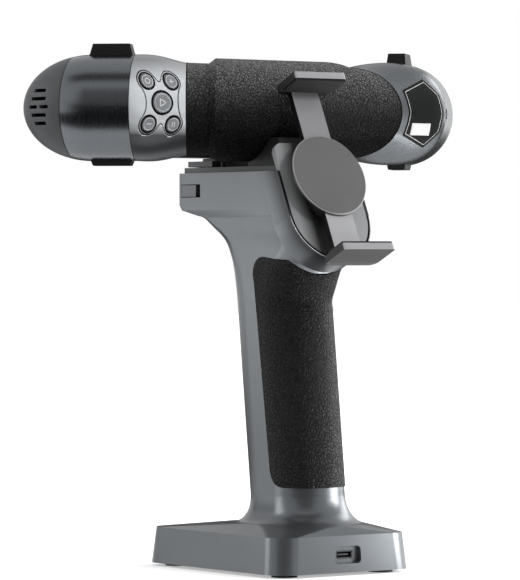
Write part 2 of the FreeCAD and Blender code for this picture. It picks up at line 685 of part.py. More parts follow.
# ================================================================ handle's outer form
def section(z, y0, y1, half, radius, nose=None):
    """Level outline: rear y0, front y1, half width, corner radius, and its own half width in front."""
    front = half if nose is None else nose
    turn = min(radius, half - 0.2, front - 0.2, (y1 - y0) / 2.0 - 0.2)
    corners = [V(-half, y0, z), V(half, y0, z), V(front, y1, z), V(-front, y1, z)]
    return rounded(corners, [turn] * 4)


def column_middle(z):
    return COLUMN_Y + (z - COLUMN_Z) * COLUMN_LEAN


def column_section(z, grow):
    middle = column_middle(z)
    return section(z, middle - COLUMN_L - grow, middle + COLUMN_L + grow, COLUMN_W + grow, COLUMN_R + grow)


def head_section(level, inset):
    z, rear, front, half, nose, radius = level
    return section(min(z, HEAD_TOP - inset), rear + inset * REAR_LEAN, front - inset, half - inset,
                   max(radius - inset, 1.0), nose - inset)


def handle_form(inset):
    """Base, leaning column and the head that carries the dock and the phone mount."""
    low = section(FOOT_H, BASE_Y0 + inset, BASE_Y1 - inset, BASE_W - inset, BASE_R - inset)
    edge = section(BASE_TOP - inset, BASE_Y0 + BASE_DRAFT + inset, BASE_Y1 - BASE_DRAFT - inset,
                   BASE_W - BASE_DRAFT - inset, BASE_R - inset)
    base = Part.makeLoft([low, edge], True, True)
    foot = FLARE_Z - inset
    curve = FLARE_R + inset
    rise = FLARE_H + inset
    rings = []
    for k in range(FLARE_STEPS + 1):
        a = math.radians(FLARE_START + (90.0 - FLARE_START) * k / FLARE_STEPS)
        rings.append(column_section(foot + rise * (1 - math.cos(a)), curve * (1 - math.sin(a)) - inset))
    roof = Part.makeLoft([edge, rings[0]], True, True)
    flare = Part.makeLoft(rings, True, False)
    column = Part.makeLoft([rings[-1], column_section(HEAD_FOOT, -inset)], True, True)
    swell = [column_section(HEAD_FOOT, -inset)] + [head_section(level, inset) for level in HEAD_SWELL]
    block = [swell[-1]] + [head_section(level, inset) for level in HEAD_BLOCK]
    head = Part.makeLoft(swell, True, False).fuse(Part.makeLoft(block, True, True))
    if inset >= SHELL_T:
        head = head.cut(box(-60, 60, HOLLOW_Y, 90, HEAD_FOOT, HOLLOW_Z))
    return base.multiFuse([roof, flare, column, head])


# ================================================================ handle's pieces
def on_mount(shape):
    """From the mount's own frame (X, up the plate, out of it) to the object's."""
    shape.rotate(V(0, 0, 0), V(1, 0, 0), 90.0 - MOUNT_TILT)
    shape.translate(V(0, MOUNT_Y, MOUNT_Z))
    return shape


def mount_outline(grow, low):
    """Round below, straight sides, rounded upper corners."""
    r = MOUNT_R + grow
    top = MOUNT_RISE + grow
    corner = MOUNT_CORNER + grow
    left, right = -r + corner, r - corner
    diag = corner * math.sqrt(0.5)
    points = [V(r, 0, low), V(r, top - corner, low), V(right + diag, top - corner + diag, low),
              V(right, top, low), V(left, top, low), V(left - diag, top - corner + diag, low),
              V(-r, top - corner, low), V(-r, 0, low)]
    edges = [Part.LineSegment(points[0], points[1]).toShape(),
             Part.Arc(points[1], points[2], points[3]).toShape(),
             Part.LineSegment(points[3], points[4]).toShape(),
             Part.Arc(points[4], points[5], points[6]).toShape(),
             Part.LineSegment(points[6], points[7]).toShape(),
             Part.Arc(points[7], V(0, -r, low), points[0]).toShape()]
    return Part.Wire(edges)


def mount_slab(grow, low, high):
    return on_mount(prism(mount_outline(grow, low), V(0, 0, high - low)))


def grip_region(shrink):
    """Side view of the grip panel's outline."""
    top, low = GRIP_TOP - shrink, GRIP_LOW + shrink
    front_top = column_middle(top) - GRIP_BACK_TOP - shrink
    front_low = column_middle(low) - GRIP_BACK_LOW - shrink
    far = -80.0
    corners = [V(-60, far, GRIP_REAR_TOP - shrink), V(-60, front_top, top), V(-60, front_low, low),
               V(-60, far, low)]
    return prism(rounded(corners, [0.5, GRIP_R_TOP, GRIP_R_LOW, 0.5]), V(120, 0, 0))


def base_points():
    """X, Y of the cover's screws, then of the feet."""
    screws = [(x, y) for x in (-BASE_SCREW_X, BASE_SCREW_X) for y in BASE_SCREW_Y]
    feet = [(x, y) for x in (-BASE_W + FOOT_INSET, BASE_W - FOOT_INSET)
            for y in (BASE_Y0 + FOOT_INSET, BASE_Y1 - FOOT_INSET)]
    return screws, feet


def handle_pieces(add):
    screws, feet = base_points()
    cover_top = FOOT_H + COVER_T
    outer = handle_form(0)
    rim = mount_slab(RIM_W, -RIM_DEPTH, 0)
    rim = rim.common(box(-60, 60, -120, 60, 0, HEAD_TOP))
    shell = outer.fuse(rim).cut(handle_form(SHELL_T))

    # bosses for the cover, pad behind the charging port, posts for the radio board, pivot boss
    for x, y in screws:
        shell = shell.fuse(rod(BOSS_R, V(x, y, cover_top), V(x, y, BASE_TOP)))
        shell = shell.cut(rod(SCREW_R + RUN, V(x, y, cover_top), V(x, y, cover_top + BASE_BORE)))
    face_y = BASE_Y0 + BASE_DRAFT * (PORT_Z - FOOT_H) / (BASE_TOP - FOOT_H)
    floor_y = face_y + PORT_DEPTH
    half = PORT_W / 2 + 2
    pad = box(-half, half, floor_y - 1.0, floor_y + PORT_WALL, cover_top + COVER_GAP, BASE_TOP - 1)
    shell = shell.fuse(pad)
    half_w, half_h = PORT_W / 2, PORT_H / 2
    corners = [V(-half_w, BASE_Y0 - 5, PORT_Z - half_h), V(half_w, BASE_Y0 - 5, PORT_Z - half_h),
               V(half_w, BASE_Y0 - 5, PORT_Z + half_h), V(-half_w, BASE_Y0 - 5, PORT_Z + half_h)]
    shell = shell.cut(prism(rounded(corners, [PORT_R] * 4), V(0, floor_y - BASE_Y0 + 5, 0)))
    half_w, half_h = SOCKET_W / 2, SOCKET_H / 2
    shell = shell.cut(box(-half_w - 0.2, half_w + 0.2, floor_y - 1, floor_y + 10,
                          PORT_Z - half_h - 0.2, PORT_Z + half_h + 0.2))
    posts = [(x, y) for x in (-RADIO_W + 3, RADIO_W - 3) for y in (RADIO_Y0 + 3, RADIO_Y1 - 3)]
    for x, y in posts:
        shell = shell.fuse(rod(POST_R, V(x, y, RADIO_Z + BOARD_T), V(x, y, HEAD_TOP - SHELL_T + 0.5)))
    pivot_low = -RIM_DEPTH
    boss = on_mount(rod(PIVOT_R + 3.0, V(0, CLAMP_UP, pivot_low), V(0, CLAMP_UP, -MOUNT_T - PLATE_GAP)))
    shell = shell.fuse(boss.common(outer.fuse(rim)))
    shell = shell.cut(on_mount(rod(PIVOT_R + RUN, V(0, CLAMP_UP, -PIVOT_L), V(0, CLAMP_UP, 1))))
    shell = shell.cut(mount_slab(PLATE_GAP, -MOUNT_T - PLATE_GAP, 20))

    # mount plate, its screws and the swivel pin
    plate = mount_slab(0, -MOUNT_T, 0)
    plate = plate.cut(on_mount(rod(PIVOT_R + RUN, V(0, CLAMP_UP, -9), V(0, CLAMP_UP, 9))))
    plate_screws = []
    for x in (-MOUNT_SCREW_X, MOUNT_SCREW_X):
        up = MOUNT_SCREW_UP
        plate = plate.cut(on_mount(rod(SCREW_R + RUN, V(x, up, -9), V(x, up, 9))))
        plate = plate.cut(on_mount(rod(SCREW_HEAD_R + RUN, V(x, up, -SCREW_HEAD_H), V(x, up, 9))))
        hole = on_mount(rod(SCREW_R + RUN, V(x, up, -RIM_DEPTH + 2), V(x, up, 0)))
        shell = shell.cut(hole)
        plate_screws.append(on_mount(screw(V(x, up, -SCREW_HEAD_H), V(0, 0, -1), MOUNT_SCREW_L)))
    add("mount_plate", plate)
    add("mount_screws", Part.makeCompound(plate_screws))
    head_low = WASHER_T + 0.1 + CLAMP_FLOOR - PIVOT_HEAD_T - 0.2
    pin = rod(PIVOT_R, V(0, CLAMP_UP, -PIVOT_L + 0.1), V(0, CLAMP_UP, head_low))
    pin = pin.fuse(rod(PIVOT_HEAD_R, V(0, CLAMP_UP, head_low), V(0, CLAMP_UP, head_low + PIVOT_HEAD_T)))
    add("swivel_pin", on_mount(pin))
    washer = tube(WASHER_R, PIVOT_R + RUN, V(0, CLAMP_UP, 0), V(0, CLAMP_UP, WASHER_T))
    add("friction_washer", on_mount(washer))

    # grip panel in its pocket
    pocket = handle_form(-1.0).cut(handle_form(GRIP_POCKET)).common(grip_region(0))
    clear_of_rim = mount_slab(RIM_W + 0.6, -RIM_DEPTH - 4, 30)
    shell = shell.cut(pocket.cut(clear_of_rim))
    panel = handle_form(-GRIP_PROUD).cut(handle_form(GRIP_POCKET)).common(grip_region(GRIP_GAP))
    add("grip_panel", largest(panel.cut(mount_slab(RIM_W + 0.6 + GRIP_GAP, -RIM_DEPTH - 4.2, 30))))

    # release slider: two side tabs on a cross bar, with a catch below the dock plate
    bar_y = (RELEASE_Y0 + RELEASE_Y1) / 2
    bar_z = (RELEASE_Z0 + RELEASE_Z1) / 2
    tab = box(NOSE_W - RELEASE_T, NOSE_W + 0.3, RELEASE_Y0, RELEASE_Y1, RELEASE_Z0, RELEASE_Z1)
    bar = box(-NOSE_W + RELEASE_T, NOSE_W - RELEASE_T, bar_y - RELEASE_BAR / 2, bar_y + RELEASE_BAR / 2,
              bar_z - 1.5, bar_z + 1.5)
    half = RELEASE_BAR / 2
    catch = box(-CATCH_W / 2, CATCH_W / 2, bar_y - half, bar_y + half, bar_z, HEAD_TOP - 0.2)
    slider = bar.multiFuse([tab, mirror(tab), catch])
    add("release_slider", slider)
    pocket = box(NOSE_W - RELEASE_T - 4, NOSE_W + 9, RELEASE_Y0 - RELEASE_TRAVEL - GAP, RELEASE_Y1 + GAP,
                 RELEASE_Z0 - GAP, RELEASE_Z1 + GAP)
    slot = box(-CATCH_W / 2 - GAP, CATCH_W / 2 + GAP, bar_y - RELEASE_BAR / 2 - RELEASE_TRAVEL - GAP,
               bar_y + RELEASE_BAR / 2 + GAP, HEAD_TOP - SHELL_T - 1, HEAD_TOP + 1)
    shell = shell.cut(pocket).cut(mirror(pocket)).cut(slot)

    # dock plate with its posts, screwed to the head's roof
    low, high = HEAD_TOP, HEAD_TOP + DOCK_T
    dock = box(-DOCK_W + 0.6, DOCK_W - 0.6, DOCK_Y0, DOCK_Y1, low, high)
    dock_screws = []
    for y in DOCK_SCREW_Y:
        for x in (-DOCK_SCREW_X, DOCK_SCREW_X):
            dock = dock.cut(rod(SCREW_R + RUN, V(x, y, low), V(x, y, high)))
            dock = dock.cut(rod(SCREW_HEAD_R + RUN, V(x, y, high - SCREW_HEAD_H), V(x, y, high)))
            shell = shell.cut(rod(SCREW_R + RUN, V(x, y, low - SHELL_T - 1), V(x, y, low)))
            length = DOCK_T - SCREW_HEAD_H + SHELL_T
            dock_screws.append(screw(V(x, y, high - SCREW_HEAD_H), V(0, 0, -1), length))
    for x in (-DOCK_POST_X, DOCK_POST_X):
        dock = dock.fuse(rod(DOCK_POST_R, V(x, DOCK_POST_Y, high), V(x, DOCK_POST_Y, high + DOCK_T)))
    behind = mount_slab(30, -MOUNT_T - GAP / 2, 60)
    dock = dock.cut(behind)
    add("dock_plate", largest(dock))
    add("dock_screws", Part.makeCompound(dock_screws))
    profile = [(BLOCK_FRONT, high), (BLOCK_FRONT, high + BLOCK_LIP), (BLOCK_KNEE, BLOCK_TOP),
               (BLOCK_REAR, BLOCK_TOP), (BLOCK_REAR, high)]
    block = slab(profile, -BLOCK_W, BLOCK_W)
    block = block.cut(rod(SLEEVE_R + BLOCK_GAP, V(-60, 0, BAR_Z), V(60, 0, BAR_Z))).cut(behind)
    add("connector_block", largest(block))

    # inside the column and the head
    add("handle_shell", largest(shell))
    lean = column_middle(1.0) - column_middle(0.0)
    way = V(0, lean, 1.0)
    way.normalize()
    cells = []
    for side in (-1, 1):
        start = V(0, column_middle(CELL_Z) + side * (CELL_R + CELL_GAP), CELL_Z)
        cells.append(rod(CELL_R, start, start.add(V(way).multiply(CELL_L))))
    add("battery_cells", Part.makeCompound(cells))
    end = CELL_Z + CELL_L * way.z
    seat = CELL_R * way.y
    lower = tray(CELL_Z - seat - TRAY_SINK, TRAY_T + seat)
    upper = tray(end - TRAY_T + TRAY_SINK, TRAY_T + seat)
    z0, z1 = CELL_Z - seat, end + seat
    web = slab([(column_middle(z0) - WEB_W, z0), (column_middle(z0) + WEB_W, z0),
                (column_middle(z1) + WEB_W, z1), (column_middle(z1) - WEB_W, z1)],
               -CELL_R - CELL_GAP - WEB_T, -CELL_R - CELL_GAP)
    add("battery_cradle", lower.multiFuse([upper, web]).cut(Part.makeCompound(cells)))
    radio = box(-RADIO_W, RADIO_W, RADIO_Y0, RADIO_Y1, RADIO_Z, RADIO_Z + BOARD_T)
    radio = radio.fuse(box(-7, 7, -6, 10, RADIO_Z - 1.6, RADIO_Z))
    add("radio_board", radio)

    # base: cover, feet, screws, ballast, charging board and socket
    inset = SHELL_T + COVER_GAP
    cover = prism(section(FOOT_H, BASE_Y0 + inset, BASE_Y1 - inset, BASE_W - inset, BASE_R - inset),
                  V(0, 0, COVER_T))
    board_z = PORT_Z - SOCKET_H / 2 - BOARD_T
    board_y0 = floor_y + PORT_WALL + GAP
    for x in (-POWER_W + 3, POWER_W - 3):
        for y in (board_y0 + 3, POWER_Y1 - 3):
            cover = cover.fuse(rod(POST_R, V(x, y, cover_top), V(x, y, board_z)))
    cover_screws = []
    for x, y in screws:
        cover = cover.cut(rod(SCREW_R + RUN, V(x, y, 0), V(x, y, 9)))
        cover = cover.cut(rod(SCREW_HEAD_R + RUN, V(x, y, 0), V(x, y, FOOT_H + SCREW_HEAD_H)))
        cover_screws.append(screw(V(x, y, FOOT_H + SCREW_HEAD_H), V(0, 0, 1), BASE_SCREW_L))
    add("base_cover", cover)
    add("base_screws", Part.makeCompound(cover_screws))
    add("base_feet", Part.makeCompound([rod(FOOT_R, V(x, y, 0), V(x, y, FOOT_H)) for x, y in feet]))
    add("ballast", box(-BALLAST_W, BALLAST_W, BALLAST_Y0, BALLAST_Y1, cover_top, cover_top + BALLAST_T))
    board = box(-POWER_W, POWER_W, board_y0, POWER_Y1, board_z, board_z + BOARD_T)
    board = board.fuse(box(-6, 6, POWER_Y1 - 14, POWER_Y1 - 4, board_z + BOARD_T, board_z + BOARD_T + 2.5))
    add("power_board", board)
    socket = box(-SOCKET_W / 2, SOCKET_W / 2, floor_y + 0.2, board_y0 + SOCKET_L,
                 PORT_Z - SOCKET_H / 2, PORT_Z + SOCKET_H / 2)
    mouth = box(-SOCKET_W / 2 + 0.4, SOCKET_W / 2 - 0.4, floor_y - 1, board_y0 + SOCKET_L - 1.5,
                PORT_Z - SOCKET_H / 2 + 0.4, PORT_Z + SOCKET_H / 2 - 0.4)
    blade = box(-SOCKET_W / 2 + 1.4, SOCKET_W / 2 - 1.4, floor_y + 1.0, board_y0 + SOCKET_L - 1.5,
                PORT_Z - 0.35, PORT_Z + 0.35)
    add("usb_socket", socket.cut(mouth).fuse(blade))


def tray(z, thick):
    """Plate across the column's inside, between z and z + thick."""
    low = min(z, z + thick)
    inset = SHELL_T + 0.25
    return Part.makeLoft([column_section(low, -inset), column_section(low + abs(thick), -inset)], True, True)


# ================================================================ phone clamp
def clamp_pieces(add):
    """Built about the clamp's own middle, in the mount's frame."""
    back = WASHER_T + 0.1
    floor = back + CLAMP_FLOOR
    front = floor + ARM_T + ARM_PLAY

    def placed(shape):
        shape.translate(V(0, CLAMP_UP, 0))
        return on_mount(shape)

    half_w, half_l = CLAMP_W / 2, CLAMP_L / 2
    corners = [V(-half_w, -half_l, back), V(half_w, -half_l, back), V(half_w, half_l, back),
               V(-half_w, half_l, back)]
    body = prism(rounded(corners, [CLAMP_R] * 4), V(0, 0, front - back))
    half = ARM_W / 2 + ARM_PLAY
    body = body.cut(box(-half, half, -half_l - 1, half_l + 1, floor, front + 1))
    body = body.cut(rod(PIVOT_R + RUN, V(0, 0, 0), V(0, 0, floor)))
    sink = floor - PIVOT_HEAD_T - 0.3
    body = body.cut(rod(PIVOT_HEAD_R + GAP, V(0, 0, sink), V(0, 0, floor)))
    add("clamp_body", placed(body))

    disc = rod(DISC_R, V(0, 0, front), V(0, 0, front + DISC_T))
    rim = [edge for edge in disc.Edges if abs(edge.BoundBox.ZMin - front - DISC_T) < 0.01
           and edge.BoundBox.DiagonalLength > DISC_R]
    disc = disc.makeChamfer(DISC_CHAMFER, rim)
    add("front_disc", placed(disc))

    for word, start, jaw, out in (("upper", UPPER_IN, UPPER_JAW, 1), ("lower", LOWER_IN, LOWER_JAW, -1)):
        low, high = sorted((start, jaw + out * JAW_T))
        play = ARM_PLAY / 2
        arm = box(-ARM_W / 2, ARM_W / 2, low, high, floor + play, floor + play + ARM_T)
        arm_front = floor + play + ARM_T
        y0, y1 = sorted((jaw, jaw + out * JAW_T))
        tip = arm_front + JAW_OUT
        corners = [V(-JAW_W / 2, y0, floor + play), V(JAW_W / 2, y0, floor + play),
                   V(JAW_W / 2, y0, tip), V(-JAW_W / 2, y0, tip)]
        plate = prism(rounded(corners, [JAW_CORNER, JAW_CORNER, 1.5, 1.5]), V(0, y1 - y0, 0))
        add("%s_arm" % word, placed(arm.fuse(plate)))
        y0, y1 = sorted((jaw, jaw - out * PAD_T))
        pad = box(-JAW_W / 2 + PAD_IN, JAW_W / 2 - PAD_IN, y0, y1, front + DISC_T + 1.0, tip - PAD_IN)
        add("%s_jaw_pad" % word, placed(pad))


# ================================================================ whole object
def main():
    os.makedirs("parts", exist_ok=True)
    pieces = {}

    def add(name, shape):
        pieces[name] = shape

    handle_pieces(add)
    clamp_pieces(add)
    scanner_pieces(add)
    front_pieces(add)

    # origin at the middle of the whole box, on the surface below
    whole = Part.makeCompound(list(pieces.values())).optimalBoundingBox(False)
    shift = V(0, -(whole.YMin + whole.YMax) / 2.0, 0)
    for name, shape in pieces.items():
        shape.translate(shift)
        shape.exportStep("parts/%s.step" % name)
    print("pieces %d, Y shift %.3f" % (len(pieces), shift.y))


main()
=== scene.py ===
import math

import bmesh
import bpy
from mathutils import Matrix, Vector
from mathutils.bvhtree import BVHTree


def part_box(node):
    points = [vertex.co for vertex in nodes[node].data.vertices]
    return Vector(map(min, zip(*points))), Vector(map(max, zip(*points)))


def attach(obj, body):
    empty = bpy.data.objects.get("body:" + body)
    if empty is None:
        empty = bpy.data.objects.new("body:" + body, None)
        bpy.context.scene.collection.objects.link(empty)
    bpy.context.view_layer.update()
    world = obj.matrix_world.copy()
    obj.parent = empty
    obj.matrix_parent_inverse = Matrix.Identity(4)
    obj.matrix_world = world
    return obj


# Looks of the handheld scanner on its desk stand. Lengths are in metres, in the frame's own axes:
# +Z up, +Y the way the scanner looks, so the photograph shows its back. Colours are linear.

MM = 0.001

# the same driving sizes as the solids have
BAR_Z = 214.2 * MM
SLEEVE_R = 23.9 * MM
NECK_R = 21.4 * MM               # bar beside the collars
COLLAR_X = 46.9 * MM             # where the bar's axis meets the joint of sleeve and collar
COLLAR_TURN = math.radians(36.0)     # that joint's plane, turned about the vertical
SPLIT_Y = 12.0 * MM              # the front housing's joint, from the bar's axis
HEAD_TURN = math.radians(43.0)   # the heads point outwards and forwards by this angle
MOUNT_TILT = math.radians(25.0)
MOUNT_R = 21.2 * MM
MOUNT_RISE = 37.0 * MM           # the mount plate's straight sides above the middle of its round end
MOUNT_CORNER = 5.0 * MM
MOUNT_Y = -47.2 * MM             # that middle, from the bar's axis
MOUNT_Z = 164.8 * MM
RIM_W = 1.6 * MM
CLAMP_UP = 16.9 * MM             # the clamp's middle above it, along the plate
DISC_R = 20.2 * MM
ARM_FRONT = 6.7 * MM             # from the mount plate's face to the arms' front

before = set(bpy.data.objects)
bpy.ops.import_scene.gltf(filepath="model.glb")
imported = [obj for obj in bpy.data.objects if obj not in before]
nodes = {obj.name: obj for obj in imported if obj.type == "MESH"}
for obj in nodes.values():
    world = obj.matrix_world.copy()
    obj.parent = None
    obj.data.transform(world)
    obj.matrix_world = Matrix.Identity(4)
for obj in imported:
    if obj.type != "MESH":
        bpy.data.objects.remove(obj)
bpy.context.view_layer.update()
AXIS_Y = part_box("grip_sleeve")[0].y + SLEEVE_R

BUTTONS = ["button_centre", "button_upper_left", "button_upper_right",
           "button_lower_left", "button_lower_right"]
BUMPERS = ["bumper_top_left", "bumper_top_right", "bumper_bottom_left", "bumper_bottom_right"]

UP = (0.0, 0.0, 1.0)
FORWARD = (0.0, 1.0, 0.0)
ACROSS = (1.0, 0.0, 0.0)
MOUNT_NORMAL = Vector((0, -math.cos(MOUNT_TILT), math.sin(MOUNT_TILT)))


def on_mount(x, up, out):
    """A place given in the mount plate's own frame: x, up its slope, and out of its face."""
    y = AXIS_Y + MOUNT_Y + up * math.sin(MOUNT_TILT) - out * math.cos(MOUNT_TILT)
    z = MOUNT_Z + up * math.cos(MOUNT_TILT) + out * math.sin(MOUNT_TILT)
    return Vector((x, y, z))


def side_axis(side, turn):
    """Axis of a head or collar, turned forwards; side is -1 on the left and 1 on the right."""
    return (side * math.cos(turn), math.sin(turn), 0.0)


def centre_of(name):
    low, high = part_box(name)
    return (low + high) / 2


# ---------------------------------------------------------------- material helpers
NOISE_LOW = 0.3                  # a noise texture is nearly always between these
NOISE_HIGH = 0.7


def start(name, colour, rough, metal=0.0, gloss=0.5):
    mat = bpy.data.materials.new(name)
    mat.use_nodes = True
    shader = mat.node_tree.nodes["Principled BSDF"]
    shader.inputs["Base Color"].default_value = (*colour, 1.0)
    shader.inputs["Roughness"].default_value = rough
    shader.inputs["Metallic"].default_value = metal
    shader.inputs["Specular IOR Level"].default_value = gloss
    return mat, mat.node_tree, shader


def position(tree):
    """Places on the object itself, in metres: they move with it."""
    return tree.nodes.new("ShaderNodeTexCoord").outputs["Object"]


def facing(tree):
    """Directions that the object's own faces point."""
    return tree.nodes.new("ShaderNodeTexCoord").outputs["Normal"]


def noise(tree, vector, scale, detail=2.0):
    node = tree.nodes.new("ShaderNodeTexNoise")
    node.inputs["Scale"].default_value = scale
    node.inputs["Detail"].default_value = detail
    tree.links.new(vector, node.inputs["Vector"])
    return node.outputs["Fac"]


def spread(tree, value, low, high, to_low=0.0, to_high=1.0):
    """Value taken from low..high to to_low..to_high, and held at the ends."""
    node = tree.nodes.new("ShaderNodeMapRange")
    node.inputs["From Min"].default_value = low
    node.inputs["From Max"].default_value = high
    node.inputs["To Min"].default_value = to_low
    node.inputs["To Max"].default_value = to_high
    tree.links.new(value, node.inputs["Value"])
    return node.outputs["Result"]


def layer(tree, value, below, above):
    """Colour above over colour below, where value is 1. Either may be a plain colour."""
    node = tree.nodes.new("ShaderNodeMix")
    node.data_type = "RGBA"
    for key, colour in (("A", below), ("B", above)):
        if isinstance(colour, tuple):
            node.inputs[key].default_value = (*colour, 1.0)
        else:
            tree.links.new(colour, node.inputs[key])
    tree.links.new(value, node.inputs["Factor"])
    return node.outputs["Result"]


def calculate(tree, how, *values):
    node = tree.nodes.new("ShaderNodeMath")
    node.operation = how
    for i, value in enumerate(values):
        if isinstance(value, float):
            node.inputs[i].default_value = value
        else:
            tree.links.new(value, node.inputs[i])
    return node.outputs["Value"]


def vector_step(tree, how, vector, other=None):
    """Vector node on a vector and, where it takes one, a fixed second one."""
    node = tree.nodes.new("ShaderNodeVectorMath")
    node.operation = how
    tree.links.new(vector, node.inputs[0])
    if other is not None:
        node.inputs[1].default_value = other
    return node


def component(tree, vector, way):
    """How far a place lies along a direction, or how much a normal points that way."""
    return vector_step(tree, "DOT_PRODUCT", vector, way).outputs["Value"]


def mount_depth(tree, place):
    """Distance of a place from the mount plate's face, towards the user."""
    base = on_mount(0.0, 0.0, 0.0).dot(MOUNT_NORMAL)
    return calculate(tree, "SUBTRACT", component(tree, place, MOUNT_NORMAL), base)


def radius_about(tree, place, middle, axis):
    """Distance of a place from the line through middle along axis."""
    away = vector_step(tree, "SUBTRACT", place, middle).outputs["Vector"]
    across = vector_step(tree, "CROSS_PRODUCT", away, axis).outputs["Vector"]
    return vector_step(tree, "LENGTH", across).outputs["Value"]


def shades(colour, change):
    """The colour darker and lighter by that share."""
    return tuple(c * (1 - change) for c in colour), tuple(min(c * (1 + change), 1.0) for c in colour)


def cloudy(tree, place, colour, mottle, scale):
    """The colour with soft darker and lighter clouds."""
    cloud = noise(tree, place, scale, detail=3.0)
    return layer(tree, spread(tree, cloud, NOISE_LOW, NOISE_HIGH), *shades(colour, mottle))


def vary_roughness(tree, shader, texture, low, high):
    tree.links.new(spread(tree, texture, NOISE_LOW, NOISE_HIGH, low, high), shader.inputs["Roughness"])


def raise_bumps(tree, shader, height, strength, depth):
    node = tree.nodes.new("ShaderNodeBump")
    node.inputs["Strength"].default_value = strength
    node.inputs["Distance"].default_value = depth
    tree.links.new(height, node.inputs["Height"])
    tree.links.new(node.outputs["Normal"], shader.inputs["Normal"])


# ---------------------------------------------------------------- paints
PAINT_GRAIN = 2600.0             # noise scales are per metre
PAINT_CLOUD = 28.0

PAINTED_LIGHT_FROM = 60.0 * MM            # height where the painted light on the handle starts
PAINTED_TONE_FULL = 150.0 * MM           # and where it is fullest; the painted shade by the mount plate is full from here too
SHADE_FROM = 120.0 * MM          # height where the painted shade by the mount plate starts
SHADE_REACH = 22.0 * MM          # how far from the plate's face it reaches
SHADE_NEAR = 2.0 * MM            # and where it is deepest
SHADE_DEPTH = 0.95


def satin_grain(tree, shader, place, rough):
    grain = noise(tree, place, PAINT_GRAIN)
    vary_roughness(tree, shader, grain, rough - 0.02, rough + 0.03)
    raise_bumps(tree, shader, grain, 0.05, 0.05 * MM)


def satin_metal(name, colour, rough=0.42, metal=0.35, mottle=0.08):
    """Fine-textured satin paint on metal."""
    mat, tree, shader = start(name, colour, rough, metal)
    place = position(tree)
    tree.links.new(cloudy(tree, place, colour, mottle, PAINT_CLOUD), shader.inputs["Base Color"])
    satin_grain(tree, shader, place, rough)
    return mat


def handle_paint(name, colour, top, painted_mount_shade, rough=0.30, metal=0.75, mottle=0.04):
    """Satin paint with painted light that pales it towards the head, and painted shade beside the mount
    plate.
    """
    mat, tree, shader = start(name, colour, rough, metal)
    place = position(tree)
    height = component(tree, place, UP)
    tone = cloudy(tree, place, colour, mottle, PAINT_CLOUD)
    # painted light: the tone pales towards the top colour higher up the handle
    tone = layer(tree, spread(tree, height, PAINTED_LIGHT_FROM, PAINTED_TONE_FULL), tone, top)
    # painted shade beside the mount plate, darkening towards the plate's face
    near = spread(tree, mount_depth(tree, place), -SHADE_REACH, -SHADE_NEAR, 0.0, SHADE_DEPTH)
    high = spread(tree, height, SHADE_FROM, PAINTED_TONE_FULL)
    painted_darkening = calculate(tree, "MULTIPLY", calculate(tree, "POWER", near, 2.0), high)
    tree.links.new(layer(tree, painted_darkening, tone, painted_mount_shade), shader.inputs["Base Color"])
    satin_grain(tree, shader, place, rough)
    return mat


# x where the painted shadow of the arms on the mount plate starts to fade and where the plate is palest, on
# each side of the arms
SHADOW_FADE_RIGHT = (-3.0 * MM, 9.0 * MM)
SHADOW_FADE_LEFT = (-10.0 * MM, -18.0 * MM)


def plate_paint(name, dark, pale, rough=0.45):
    """Satin plate, pale at both sides, with a painted shadow of the arms on their left."""
    mat, tree, shader = start(name, pale, rough)
    place = position(tree)
    across = component(tree, place, ACROSS)
    far_right = spread(tree, across, *SHADOW_FADE_RIGHT)
    far_left = spread(tree, across, *SHADOW_FADE_LEFT, 0.0, 0.8)
    # painted shadow of the arms: dark between the two ramps, pale beyond them
    tone = layer(tree, calculate(tree, "MAXIMUM", far_right, far_left), dark, pale)
    tree.links.new(tone, shader.inputs["Base Color"])
    raise_bumps(tree, shader, noise(tree, place, PAINT_GRAIN), 0.12, 0.05 * MM)
    return mat


JAW_FROM = ARM_FRONT + 0.1 * MM  # a jaw's tone starts this far out of the mount plate's face
JAW_FULL = ARM_FRONT + 0.4 * MM
FRONT_FACE = (0.5, 0.8)          # how much a normal points out of the plate on an arm's front face
ARM_SMEAR = (0.02, 0.02, 0.022)


def clamp_arm(name, face, painted_shade_top, painted_jaw_shade, tip, side, rough=0.36, gloss=0.3, jaw_gloss=0.10):
    """Arm with a pale front face and a paler jaw tip; the dark sides, the darker upper part of the front
    face and the dark grey of the jaw's other faces are painted shade.
    """
    mat, tree, shader = start(name, face, rough, 0.0, gloss)
    place = position(tree)
    on_front = spread(tree, component(tree, facing(tree), MOUNT_NORMAL), *FRONT_FACE)
    on_jaw = spread(tree, mount_depth(tree, place), JAW_FROM, JAW_FULL)
    on_tip = calculate(tree, "MULTIPLY", on_front, on_jaw)
    height = component(tree, place, UP)
    # painted shade: the front face darkens towards the top, under the upper jaw
    front = layer(tree, spread(tree, height, MOUNT_Z, MOUNT_Z + 2 * CLAMP_UP), face, painted_shade_top)
    # painted shade: the sides are near black
    tone = layer(tree, on_front, side, front)
    # painted shade on the jaw's faces other than its front
    tone = layer(tree, on_jaw, tone, painted_jaw_shade)
    tone = layer(tree, on_tip, tone, tip)
    cloud = noise(tree, place, scale=45.0, detail=3.0)
    tone = layer(tree, spread(tree, cloud, 0.35, 0.75, 0.0, 0.12), tone, ARM_SMEAR)
    tree.links.new(tone, shader.inputs["Base Color"])
    tree.links.new(spread(tree, on_jaw, 0.0, 1.0, gloss, jaw_gloss), shader.inputs["Specular IOR Level"])
    grain = noise(tree, place, PAINT_GRAIN)
    vary_roughness(tree, shader, grain, rough - 0.05, rough + 0.06)
    raise_bumps(tree, shader, grain, 0.2, 0.04 * MM)
    return mat


DISC_CHAMFER = 0.6 * MM
DISC_BLUR = 0.1 * MM             # how softly the painted highlight on the chamfer starts
DISC_GRAIN = 3000.0
# painted shade on the disc's wall
PAINTED_WALL_SHADE = (0.012, 0.012, 0.012)
WALL_FACE = (0.45, 0.3)          # how much a normal points out of the plate on the disc's wall
DUST = 1.1                       # how much paler the dusty clouds are


